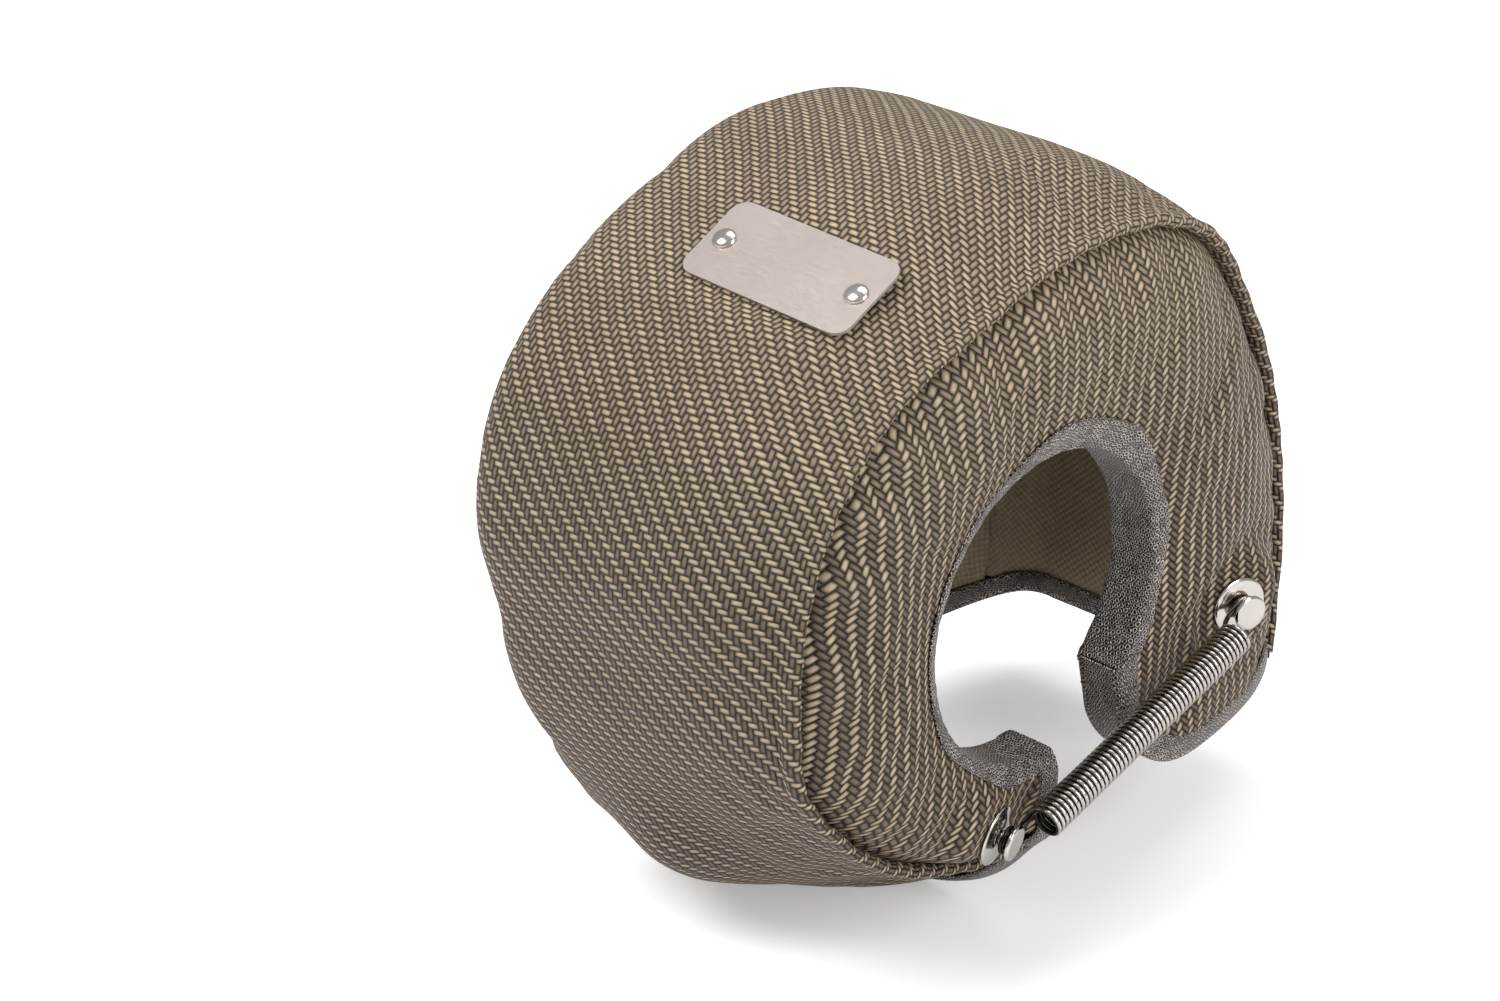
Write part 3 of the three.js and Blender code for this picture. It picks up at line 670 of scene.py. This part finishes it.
def plain_cloth(name, colour, pitch):
    """Plain woven lining cloth."""
    g = Graph(name)
    u, v, _ = g.parts(g.attribute("weave"))
    a = g.math("SINE", g.math("MULTIPLY", u, math.pi / pitch))
    b = g.math("SINE", g.math("MULTIPLY", v, math.pi / pitch))
    height = g.math("ADD", 0.5, g.math("MULTIPLY", g.math("MULTIPLY", a, b), 0.5))
    patch = g.noise(g.place(), 30, 3)
    share = g.math("MULTIPLY", g.ranged(height, 0, 1, 0.7, 1), g.ranged(patch, 0.3, 0.7, 0.85, 1.05))
    return g.set(Base_Color=g.scaled(colour, share), Roughness=0.9, Normal=g.bump(height, 0.25))


def felt(name, colour):
    """Needled fibre mat."""
    g = Graph(name)
    fuzz = g.noise(g.place(), 900, 4, 0.7)
    share = g.ranged(fuzz, 0.3, 0.7, 0.82, 1)
    return g.set(Base_Color=g.scaled(colour, share), Roughness=0.95, Normal=g.bump(fuzz, 0.4))


def polished(name, colour, roughness):
    """Turned and polished stainless, faintly marked by handling."""
    g = Graph(name)
    place = g.place()
    marks = g.noise(place, 700, 3, 0.6)
    smear = g.noise(place, 160, 2)
    return g.set(
        Base_Color=g.scaled(colour, g.ranged(smear, 0.3, 0.7, 0.93, 1)), Metallic=1.0,
        Roughness=g.ranged(smear, 0.3, 0.7, roughness, roughness + 0.08), Normal=g.bump(marks, 0.02))


def drawn_wire(name, colour, gap_shade):
    """Bright drawn wire, with painted shade between its turns, where the skin faces into the coil."""
    g = Graph(name)
    facing, _, _ = g.parts(g.attribute("weave"))
    draw = g.noise(g.place(), 420, 2)
    # Painted shade between the turns: the skin that faces into the coil takes the second, darker colour.
    share = g.ranged(facing, 0.25, 0.85, 0, 1)
    return g.set(
        Base_Color=g.scaled(g.mix(share, gap_shade, colour), g.ranged(draw, 0.3, 0.7, 0.88, 1)), Metallic=1.0,
        Roughness=g.ranged(draw, 0.3, 0.7, 0.16, 0.26), Normal=g.bump(draw, 0.02))


def brushed(name, colour, roughness):
    """Sheet brushed along X."""
    g = Graph(name)
    x, y, z = g.parts(g.place())
    lines = [g.math("MULTIPLY", part, often) for part, often in ((x, 60), (y, 5000), (z, 5000))]
    brush = g.noise(g.vector(*lines), 1, 3)
    smear = g.noise(g.place(), 45, 3, 0.6)
    return g.set(
        Base_Color=g.scaled(colour, g.ranged(smear, 0.3, 0.7, 0.92, 1.02)), Metallic=0.9,
        Roughness=g.ranged(brush, 0.2, 0.8, roughness - 0.06, roughness + 0.1),
        Normal=g.bump(brush, 0.03, 0.6))


# One basalt for both sets of tows: the darker across colour is painted shade, the lighter along colour a
# painted sheen.
basalt = twill("basalt_twill", across=rgb(100, 82, 62), along=rgb(174, 154, 126))
# The knit's second colour is painted shade in the gaps between its loops.
knit_steel = knit("knitted_wire", rgb(244, 234, 226), rgb(92, 82, 75))
lining = plain_cloth("silica_lining", rgb(176, 160, 134), 1.1)
mat_felt = felt("fibre_mat", rgb(226, 222, 212))
steel = polished("polished_steel", rgb(206, 200, 195), 0.1)
# The spring wire's second colour is painted shade between its turns.
wire_steel = drawn_wire("spring_wire", rgb(206, 198, 192), rgb(48, 42, 38))
plate_steel = brushed("plate_steel", rgb(198, 186, 179), 0.38)
rivet_steel = polished("rivet_steel", rgb(214, 206, 200), 0.16)


# Plies of the wall: how far each stays off the neck's outline, its thickness, look and slot.
COVER_PLY = {"trim": 2.0, "thickness": 1.1, "material": basalt, "slot": "basalt_twill"}
MAT_PLY = {"trim": 3.5, "thickness": 6, "material": mat_felt, "slot": "wool_mat"}
LINER_PLY = {"trim": 2.0, "thickness": 0.8, "material": lining, "slot": "silica_liner"}
ANGLES = np.linspace(ROUND_START, ROUND_END, BEARINGS)[:, None]


def add_ply(name, node, points, outward, weave, trim, thickness, material, slot):
    """A padded ply over a grid of points, in place of a CAD node."""
    keep = ~in_neck(points[..., 1], points[..., 2], trim)
    piece = thicken(grid_object(name, points, outward, weave, keep), thickness)
    finish_piece(piece, material, node)


def spread(values, rows, columns, shape):
    """Values on some rows and columns of a grid, carried to all of them."""
    across = np.stack([np.interp(np.arange(shape[1]), columns, row) for row in values])
    return np.stack([np.interp(np.arange(shape[0]), rows, line) for line in across.T], -1)


def billow(points, free, outward, pressure, slack, cap):
    """Cloth simulation: free cloth swells under pressure and creases where it is held.

    free is 1 where the cloth moves and 0 where it is sewn down, slack the share of extra cloth
    and cap the farthest that a point moves, in millimetres."""
    scene = bpy.context.scene
    rows = np.arange(0, points.shape[0], SIM_ROW_STEP)
    columns = np.unique(np.append(np.arange(0, points.shape[1], SIM_COLUMN_STEP), points.shape[1] - 1))
    coarse = points[np.ix_(rows, columns)]
    patch = grid_object("billow", coarse, outward[np.ix_(rows, columns)])
    held = patch.vertex_groups.new(name="held")
    for index, share in enumerate(free[np.ix_(rows, columns)].ravel()):
        held.add([index], float(1 - share), "REPLACE")
    cloth = patch.modifiers.new("cloth", "CLOTH")
    settings = cloth.settings
    settings.quality = 5
    settings.mass = 0.3
    settings.tension_stiffness = 15
    settings.compression_stiffness = 15
    settings.bending_stiffness = 0.4
    settings.use_pressure = True
    settings.uniform_pressure_force = pressure
    settings.shrink_min = -slack
    settings.vertex_group_mass = held.name
    settings.effector_weights.gravity = 0
    cloth.point_cache.frame_start = 1
    cloth.point_cache.frame_end = SIM_FRAMES
    for step in range(1, SIM_FRAMES + 1):
        scene.frame_set(step)
    settled = patch.evaluated_get(bpy.context.evaluated_depsgraph_get())
    after = np.empty(coarse.size)
    settled.data.vertices.foreach_get("co", after)
    move = after.reshape(coarse.shape) / MM - coarse
    length = np.linalg.norm(move, axis=-1, keepdims=True)
    move *= cap * np.tanh(length / cap) / np.maximum(length, 1e-6)
    scene.frame_set(1)
    bpy.data.objects.remove(patch)
    moved = np.stack([spread(move[..., k], rows, columns, points.shape[:2]) for k in range(3)], -1)
    return points + moved * free[..., None]


def plate_frame():
    normal = np.array(PLATE_NORMAL)
    along = np.array([1.0, 0, 0]) - normal * normal[0]
    along /= np.linalg.norm(along)
    under = np.array(PLATE_CENTRE) - normal * PLATE_THICKNESS
    return under, along, np.cross(normal, along), normal


def under_plate(points):
    """Presses the cloth flat below the name plate, and a little past its edges."""
    base, along, across, normal = plate_frame()
    local = points - base
    height = local @ normal
    beyond = np.maximum(np.abs(local @ along) - PLATE_LENGTH / 2, np.abs(local @ across) - PLATE_WIDTH / 2)
    press = (1 - smooth(beyond, 0.5, 6)) * (np.abs(height) < 8)
    down = np.minimum(0, -0.25 - height) * press
    return points + down[..., None] * normal


def band_weave(length):
    """Weave coordinates: the length from the seam, and round the band at its middle."""
    middle = to_space(*band_at(ANGLES, 0.5, 0), ANGLES)[:, 0]
    return np.stack(np.broadcast_arrays(-length, run_along(middle)[:, None], 0 * length), -1)


def band_quilt():
    """The band's cover, gathered behind its rolled hem and flat under the plate."""
    turned = SHOULDER_START + (1 - SHOULDER_START) * np.sin(np.linspace(0, math.pi / 2, 12))
    t = np.concatenate([np.linspace(0.035, SHOULDER_START, 56)[:-1], turned])[None, :]
    x, r = band_at(ANGLES, t, 0)
    # The front edge rolls over the seam and turns under it.
    roll_x = np.array([-7, -4.5, -2, 0.2, 1.5, 2.2, 2.4, 2.2, 1.5, 0.4, -0.8])[None, :]
    roll_r = np.array([-1.6, -1.6, -1.6, -1.5, -1.1, -0.4, 0.4, 1.2, 1.8, 2.1, 2.15])[None, :]
    front = band_profile(ANGLES, 0.0) + 0 * roll_x
    x = np.concatenate([seam_x(ANGLES) + roll_x, x], 1)
    r = np.concatenate([front + roll_r, r], 1)
    points = to_space(x, r, ANGLES)
    length = run_along(points)
    from_edge = np.maximum(length - 6, 0)
    gather = np.exp(-from_edge / 11) * smooth(length, 2, 7)
    weave = band_weave(length)
    ripple = np.sin(weave[..., 1] / 2.1 + 2.2 * np.sin(weave[..., 1] / 13)) * 0.32
    uneven = wander(points, 46, 3) * 0.35 + wander(points, 17, 4) * 0.14
    lift = (ripple * gather + uneven * smooth(length, 6, 20)) * smooth(length, 0, 4)
    points = to_space(x, r + lift, ANGLES)
    radial = points * RADIAL
    free = smooth(length, 13, 24) * smooth(length[:, -1:] - length, 2, 16)
    points = under_plate(billow(points, free, radial, pressure=1.0, slack=0.01, cap=1.2))
    add_ply("band_cover_cloth", "band_cover", points, radial, weave, **COVER_PLY)


def panel_grid(panel, shares, depth=0.0):
    """Points of a panel at a depth, at shares of the way from its opening to its outer edge."""
    outer = panel.outer(ANGLES) - depth
    r = panel.inner + (outer - panel.inner) * shares
    angle = np.radians(ANGLES)
    y, z = r * np.cos(angle), r * np.sin(angle)
    return np.stack([panel.at(y, z, depth), y, z], -1)


def face_weave(points):
    """The face's tows run at 45 degrees, so that the ribs stand upright and bend with the ring."""
    y, z = points[..., 1], points[..., 2]
    bent = y + 0.0055 * np.minimum(z + 6, 0) ** 2 * smooth(-y, -30, 10)
    return np.stack([(bent + z) / math.sqrt(2), (z - bent) / math.sqrt(2), 0 * y], -1)


def face_quilt():
    """The face's cover, pleated round the outlet and dished at its edging."""
    shares = np.concatenate([np.linspace(0, 0.9, 34), [0.93, 0.955, 0.975, 0.99, 1.0]])[None, :]
    points = panel_grid(face, shares)
    away = (1 - shares) * (face.outer(ANGLES) - face.inner)
    bearing = ANGLES + 0 * shares
    pleat = np.sin(np.radians(bearing) * 23 + 1.6 * np.sin(np.radians(bearing) * 5))
    pleat_depth = (np.exp(-((away - 6) / 9) ** 2)
                   * (0.3 + 1.0 * lobe(bearing, 138, 30) + 0.4 * lobe(bearing, 40, 30)))
    uneven = wander(points, 30, 7) * 0.5 + wander(points, 12, 8) * 0.16
    off_seats = np.minimum.reduce([
        np.hypot(points[..., 1] - base[1], points[..., 2] - base[2]) for base, _ in face.seats])
    flat = 1 - np.exp(-(off_seats / 11) ** 4)
    edge = smooth(away, 0, 5) * smooth(shares, 0.02, 0.15)
    points[..., 0] += (pleat * pleat_depth + uneven) * flat * edge - 0.12 * (1 - flat)
    points[..., 0] -= 3.2 * np.exp(-(away / 3.2) ** 2)
    free = smooth(away, 3, 10) * smooth(shares, 0.06, 0.3) * flat
    ahead = np.broadcast_to(FRONTWARD, points.shape)
    points = billow(points, free, ahead, pressure=1.2, slack=0.015, cap=1.8)
    weave = face_weave(points)
    # The outer edge dives into the seam.
    dive = np.array([(-1.2, 0.1), (-2.6, 0.15), (-4.0, 0.1)])
    tail = to_space(points[:, -1:, 0] + dive[:, 0], face.outer(ANGLES) + dive[:, 1], ANGLES)
    points = np.concatenate([points, tail], 1)
    weave = np.concatenate([weave, weave[:, -1:] - dive[:, :1]], 1)
    add_ply("face_cover_cloth", "face_cover", points, FRONTWARD, weave, **COVER_PLY)


def rear_quilt():
    """The rear panel's cover, pleated round its mouth."""
    shares = np.linspace(0, 1, 26)[None, :]
    points = panel_grid(rear, shares)
    away = (1 - shares) * (rear.outer(ANGLES) - rear.inner)
    pleat = np.sin(np.radians(ANGLES) * 31 + 1.4 * np.sin(np.radians(ANGLES) * 4))
    points[..., 0] -= pleat * 0.45 * np.exp(-((away - 6) / 7) ** 2) * smooth(away, 0, 4)
    add_ply("rear_cover_cloth", "rear_cover", points, REARWARD, face_weave(points), **COVER_PLY)


def mats():
    """The fibre mats between cover and lining."""
    t = np.linspace(0.02, 1, 30)[None, :]
    shares = np.linspace(0.02, 0.97, 16)[None, :]
    band = to_space(*band_at(ANGLES, t, MAT_DEPTH_IN_BAND), ANGLES)
    for name, points, outward in (
            ("band", band, band * RADIAL),
            ("face", panel_grid(face, shares, MAT_DEPTH_IN_PANELS), FRONTWARD),
            ("rear", panel_grid(rear, shares, MAT_DEPTH_IN_PANELS), REARWARD)):
        add_ply(f"{name}_fibre_mat", f"{name}_mat", points, outward, None, **MAT_PLY)


def linings():
    """The silica cloth that lines the wall, facing inwards."""
    t = np.linspace(0, 1, 40)[None, :]
    shares = np.linspace(0, 1, 16)[None, :]
    band = to_space(*band_at(ANGLES, t, WALL), ANGLES)
    add_ply("band_liner_cloth", "band_liner", band, -band * RADIAL, band_weave(run_along(band)), **LINER_PLY)
    for name, panel, inward in (("face", face, REARWARD), ("rear", rear, FRONTWARD)):
        points = panel_grid(panel, shares, WALL)
        add_ply(f"{name}_liner_cloth", f"{name}_liner", points, inward, face_weave(points), **LINER_PLY)


# Knitted edging.
def strip_across(width, lift=0.0):
    """Places across a strip folded over the wall's edge, as (distance from the edge, depth)."""
    return np.array([
        (width, -0.2), (width - 0.3, -0.8 - lift), (width * 0.6, -1.05 - lift), (1.4, -1.1 - lift),
        (0.45, -0.85 - lift), (0.05, -0.2), (0, 0.8), (0, WALL * 0.5), (0, WALL - 0.8),
        (0.05, WALL + 0.2), (0.5, WALL + 0.9), (1.4, WALL + 1.1), (KNIT_BACK - 0.3, WALL + 1.0),
        (KNIT_BACK, WALL + 0.3)])


def knit_weave(points, along):
    """Weave coordinates of a strip: the length along it, and the length across it."""
    across = run_along(points)
    return np.stack(np.broadcast_arrays(along[:, None], across, 0 * across), -1)


def add_strip(name, node, points, outward, weave, keep=None):
    piece = thicken(grid_object(name, points, outward, weave, keep), KNIT_THICKNESS)
    finish_piece(piece, knit_steel, node)
    return piece


def ring_edging(name, node, panel, edge, width):
    """Edging round a panel's opening of radius edge. width gives how wide it is at a bearing."""
    bearing = np.linspace(ROUND_START, ROUND_END, RING_STATIONS)
    rows = []
    for angle in bearing:
        across = strip_across(width(angle))
        r = edge + across[:, 0]
        a = math.radians(angle)
        y, z = r * math.cos(a), r * math.sin(a)
        held = np.maximum(r, panel.inner)
        x = panel.at(held * math.cos(a), held * math.sin(a), across[:, 1])
        rows.append(np.stack([x, y, z], -1))
    points = np.array(rows)
    weave = knit_weave(points, np.radians(bearing) * (edge + 3))
    fuzz = wander(points, 5, 21) * 0.16 + wander(points, 14, 22) * 0.22
    points[..., 0] += fuzz * smooth(weave[..., 1], 0, 1.5)
    keep = ~in_neck(points[..., 1], points[..., 2], KNIT_TRIM)
    outward = points - points.mean(axis=1, keepdims=True) - to_space(0, 4, bearing)[:, None]
    add_strip(name, node, points, outward, weave, keep)


def left_outline(grow):
    """The left end's cut edge from the top down, as (y, z) pairs."""
    return np.array([(GAP_LEFT - grow, NECK_SLIT_TOP), (GAP_LEFT - grow, -150)], float)


def right_outline(grow):
    """The right end's cut edge: down, round the tip and out over the flank."""
    return np.array([
        (GAP_RIGHT + grow, NECK_SLIT_TOP), (GAP_RIGHT + grow, GAP_TIP[1] + NECK_ROUND),
        (GAP_TIP[0] + 0.7 * grow, GAP_TIP[1] + grow), (GAP_TIP[0] + NECK_ROUND, NECK_TOP + grow),
        (170, NECK_TOP + grow)], float)


def end_line(outline, grow, depth, counts):
    """A line along an open end: over the face, the band and the rear, at a depth below the outside."""
    corners = rounded(outline(grow), 7, 6)
    run = run_along(corners)
    dense = np.linspace(0, run[-1], 4000)
    y, z = [np.interp(dense, run, corners[:, k]) for k in (0, 1)]
    reach, angle = np.hypot(y, z), np.degrees(np.arctan2(z, y))

    def first(limit):
        """Index of the first place at least as far out as a limit."""
        return int(np.argmax(reach >= limit))

    def on_panel(panel, edge, count):
        stops = np.linspace(first(edge), first(panel.outer(angle) - depth), count).astype(int)
        return np.stack([panel.at(y[stops], z[stops], depth), y[stops], z[stops]], -1)

    lines = [on_panel(face, OUTLET_RADIUS - KNIT_START, counts[0])]
    straight = np.linspace(0, SHOULDER_START, counts[1])[1:-1]
    if depth > WALL / 2:
        turned = np.linspace(SHOULDER_START, 1, 8)
    else:
        turned = SHOULDER_START + (1 - SHOULDER_START) * np.sin(np.linspace(0, math.pi / 2, 8))
    for t in np.concatenate([straight, turned]):
        stop = first(band_profile(angle, t) - depth)
        x, _ = band_at(angle[stop], t, depth)
        lines.append(np.array([[x, y[stop], z[stop]]]))
    lines.append(on_panel(rear, MOUTH_RADIUS - KNIT_START, counts[2])[::-1])
    return np.concatenate(lines)


def end_edging(name, node, outline, seed):
    """Edging along an open end, from the outlet over the band to the rear mouth."""
    across = strip_across(KNIT_WIDTH, END_LIFT)
    points = np.stack([end_line(outline, grow, depth, (30, 44, 22)) for grow, depth in across], 1)
    for _ in range(3):
        points[1:-1] = points[1:-1] * 0.5 + (points[:-2] + points[2:]) * 0.25
    weave = knit_weave(points, run_along(points[:, 3]))
    points += (wander(points, 6, seed) * 0.14)[..., None] * np.array([0.6, 0.3, 0.7])
    outward = points - 0.5 * (points[:, :1] + points[:, -1:])
    rounding = add_strip(name, node, points, outward, weave).modifiers.new("smooth", "SUBSURF")
    rounding.levels = rounding.render_levels = 1


def outlet_width(angle):
    """Width of the outlet's edging, widest at its top."""
    return 4 + 5 * float(lobe(angle, 75, 32)) + 0.5 * math.sin(math.radians(angle) * 9)


# Hardware.
def capstan(name, base, axis):
    """A domed washer and the stud through it, with the post and head that hold a spring's hook."""
    top = WASHER_DOME + WASHER_THICKNESS
    dish = [
        (1.8, WASHER_DOME), (4.2, 0.5), (6.6, 0.0), (7.3, -0.05), (WASHER_RADIUS, 0.25), (7.62, 0.55),
        (7.1, 0.78), (6.2, 0.9), (4.6, 1.28), (3.2, top - 0.02), (1.8, top), (1.8, WASHER_DOME)]
    tail = -WALL * abs(axis[0]) - STUD_PAST_WALL
    stud = [
        (0, tail), (SHANK_RADIUS - 0.15, tail), (SHANK_RADIUS, tail + 0.3), (SHANK_RADIUS, SHOULDER_Z),
        (POST_RADIUS, SHOULDER_Z), (POST_RADIUS, HEAD_Z), (HEAD_RADIUS - 0.3, HEAD_Z),
        (HEAD_RADIUS, HEAD_Z + 0.25), (HEAD_RADIUS, HEAD_Z + 0.7), (HEAD_RADIUS - 0.5, HEAD_TOP),
        (2.6, HEAD_TOP + 0.02), (1.1, HEAD_TOP - 0.04), (0, HEAD_TOP - 0.05)]
    for part, outline, corner, node in (
            ("domed_washer", dish, 0.4, "capstan_washer"), ("stud", stud, 0.22, "capstan_stud")):
        piece = lathe(f"{name}_{part}", rounded(outline, corner), base, axis)
        finish_piece(piece, steel, f"{name}_{node}")


def spring_path(seats):
    """The wire's centre line: a hook round one post, the coil, and a hook round the other."""
    middle = (SHOULDER_Z + HEAD_Z) / 2
    (start, start_axis), (end, end_axis) = [(base + axis * middle, axis) for base, axis in seats]
    along = (end - start) / np.linalg.norm(end - start)
    side = np.cross(start_axis + end_axis, along)
    side /= np.linalg.norm(side)
    rise = np.cross(along, side)
    loop = POST_RADIUS + WIRE / 2 + 0.15

    def hook(origin, axis, sign):
        normal = axis * (1 - HOOK_TILT) + rise * HOOK_TILT
        normal /= np.linalg.norm(normal)
        ahead = along - normal * (along @ normal)
        ahead /= np.linalg.norm(ahead)
        beside = np.cross(normal, ahead)
        bearings = [math.radians(b) for b in HOOK_BEARINGS]
        spots = [(loop * math.cos(b), loop * math.sin(b)) for b in bearings] + [(HOOK_BEND, -WIRE)]
        return [origin + ahead * sign * a + beside * sign * s for a, s in spots]

    length = np.linalg.norm(end - start) - 2 * HOOK_LENGTH
    turns = int(length / COIL_PITCH)
    mean = COIL_RADIUS - WIRE / 2
    coil = []
    for i in range(turns * COIL_STEPS + 1):
        bearing = 2 * math.pi * i / COIL_STEPS
        coil.append(start + along * (HOOK_LENGTH + length * i / (turns * COIL_STEPS))
                    + side * mean * math.sin(bearing) + rise * mean * (1 - math.cos(bearing)))
    # Each hook runs into the coil's first three points, and loses its last six for an even spacing.
    first = along_curve(hook(start, start_axis, 1) + coil[:3], HOOK_POINTS)
    last = along_curve(coil[-3:] + hook(end, end_axis, -1)[::-1], HOOK_POINTS)
    return np.vstack([first[:-6], coil[3:-3], last[6:]])


def springs():
    for name, panel in (("front", face), ("rear", rear)):
        path = spring_path(panel.seats)
        coil = path[HOOK_POINTS + 30:-HOOK_POINTS - 30]
        centre = coil.mean(axis=0)
        axis = coil[-1] - coil[0]
        axis /= np.linalg.norm(axis)

        def away_from(point, centre=centre, axis=axis):
            off = point - centre
            off = off - axis * (off @ axis)
            return off / max(np.linalg.norm(off), 1e-6)

        piece = tube(f"{name}_spring_coil", path, WIRE / 2, away_from)
        finish_piece(piece, wire_steel, f"{name}_spring")


def rivets():
    """The domed rivets that hold the plate, through the wall."""
    base, along, _, normal = plate_frame()
    tail = -WALL - RIVET_PAST_WALL
    quarter = np.linspace(0, math.pi / 2, 14)
    dome = [(RIVET_RADIUS * math.cos(b), 0.1 + RIVET_DOME * math.sin(b)) for b in quarter]
    outline = [(0, tail), (SHANK_RADIUS, tail), (SHANK_RADIUS, 0), (RIVET_RADIUS - 0.1, 0), *dome]
    for index, end in ((1, -1), (2, 1)):
        top = base + along * end * (PLATE_LENGTH / 2 - RIVET_INSET) + normal * (PLATE_THICKNESS + 0.05)
        piece = lathe(f"plate_rivet_{index}_dome", outline, top, normal)
        finish_piece(piece, rivet_steel, f"plate_rivet_{index}")


def dress_cad():
    """Gives the CAD nodes that stay their materials, and the plate a fine bevel."""
    looks = {"lock_washer": steel, "plate_burr": rivet_steel, "name_plate": plate_steel}
    for name, node in frame["nodes"].items():
        look = next((m for key, m in looks.items() if key in name), None)
        if look:
            node.data.materials.clear()
            node.data.materials.append(look)
    plate = frame["nodes"]["name_plate"]
    bevel = plate.modifiers.new("edge", "BEVEL")
    bevel.width = 0.12 * MM
    bevel.segments = 2
    bevel.limit_method = "ANGLE"


# Stage.
def stage():
    """A pale floor that keeps the shadow near the object and fades to white away from it."""
    low = float(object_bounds()[0].z)
    size = 4.0
    corners = [(-size, -size), (size, -size), (size, size), (-size, size)]
    mesh = bpy.data.meshes.new("floor")
    mesh.from_pydata([(x, y, low) for x, y in corners], [], [(0, 1, 2, 3)])
    floor = add_object("floor", mesh)
    material = bpy.data.materials.new("floor")
    material.use_nodes = True
    nodes, links = material.node_tree.nodes, material.node_tree.links
    nodes.clear()
    diffuse = nodes.new("ShaderNodeBsdfDiffuse")
    diffuse.inputs["Color"].default_value = (0.86, 0.86, 0.86, 1)
    glow = nodes.new("ShaderNodeEmission")
    glow.inputs["Color"].default_value = (1, 1, 1, 1)
    path = nodes.new("ShaderNodeLightPath")
    place = nodes.new("ShaderNodeTexCoord")
    distance = nodes.new("ShaderNodeVectorMath")
    distance.operation = "LENGTH"
    links.new(place.outputs["Object"], distance.inputs[0])
    fade = nodes.new("ShaderNodeMapRange")
    for socket, value in zip(list(fade.inputs)[1:5], (0.3, 1.0, 0.3, 1.0)):
        socket.default_value = value
    links.new(distance.outputs["Value"], fade.inputs[0])
    seen = nodes.new("ShaderNodeMath")
    seen.operation = "MULTIPLY"
    links.new(fade.outputs[0], seen.inputs[1])
    links.new(path.outputs["Is Camera Ray"], seen.inputs[0])
    links.new(seen.outputs[0], glow.inputs["Strength"])
    both = nodes.new("ShaderNodeAddShader")
    output = nodes.new("ShaderNodeOutputMaterial")
    links.new(diffuse.outputs[0], both.inputs[0])
    links.new(glow.outputs[0], both.inputs[1])
    links.new(both.outputs[0], output.inputs[0])
    mesh.materials.append(material)
    floor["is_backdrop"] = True


def aim(made, place, direction):
    """Puts a lamp or camera in its place, looking along a direction."""
    made.location = place
    made.rotation_mode = "QUATERNION"
    made.rotation_quaternion = direction.to_track_quat("-Z", "Y")


def light(name, place, size, power):
    data = bpy.data.lights.new(name, "AREA")
    data.shape = "RECTANGLE"
    data.size, data.size_y = size
    data.energy = power
    aim(add_object(name, data), place, Vector(LIGHT_TARGET) - Vector(place))


def lighting():
    light("key", (-0.35, -0.75, 0.95), (0.6, 0.6), 13)
    light("fill", (1.1, 0.1, 0.6), (0.5, 0.9), 11)
    light("top", (-0.1, 0.35, 1.1), (0.9, 0.5), 5)
    world = bpy.data.worlds.new("studio")
    bpy.context.scene.world = world
    world.use_nodes = True
    nodes, links = world.node_tree.nodes, world.node_tree.links
    nodes.clear()
    path = nodes.new("ShaderNodeLightPath")
    mix = nodes.new("ShaderNodeMix")
    mix.data_type = "RGBA"
    mix.inputs[6].default_value = (0.44, 0.44, 0.45, 1)
    mix.inputs[7].default_value = (1, 1, 1, 1)
    background = nodes.new("ShaderNodeBackground")
    output = nodes.new("ShaderNodeOutputWorld")
    links.new(path.outputs["Is Camera Ray"], mix.inputs["Factor"])
    links.new(mix.outputs[2], background.inputs["Color"])
    links.new(background.outputs[0], output.inputs[0])


def camera():
    azimuth, elevation = math.radians(CAMERA_AZIMUTH), math.radians(CAMERA_ELEVATION)
    back = Vector((math.sin(azimuth) * math.cos(elevation),
                   -math.cos(azimuth) * math.cos(elevation), math.sin(elevation)))
    data = bpy.data.cameras.new("camera")
    data.lens = CAMERA_LENS
    data.sensor_width = 36
    data.clip_start = 0.02
    data.clip_end = 20
    eye = add_object("camera", data)
    aim(eye, CAMERA_EYE, -back)
    bpy.context.scene.camera = eye


camera()
band_quilt()
face_quilt()
rear_quilt()
mats()
linings()
ring_edging("outlet_knit_edging", "outlet_edging", face, OUTLET_RADIUS, outlet_width)
ring_edging("mouth_knit_edging", "mouth_edging", rear, MOUTH_RADIUS, lambda angle: KNIT_WIDTH)
end_edging("left_end_knit_edging", "left_end_edging", left_outline, 31)
end_edging("right_end_knit_edging", "right_end_edging", right_outline, 32)
for panel, names in ((face, ("front_upper", "front_lower")), (rear, ("rear_upper", "rear_lower"))):
    for (seat, direction), label in zip(panel.seats, names):
        capstan(label, seat, direction)
springs()
rivets()
dress_cad()
stage()
lighting()
bpy.context.scene.view_settings.view_transform = "Standard"
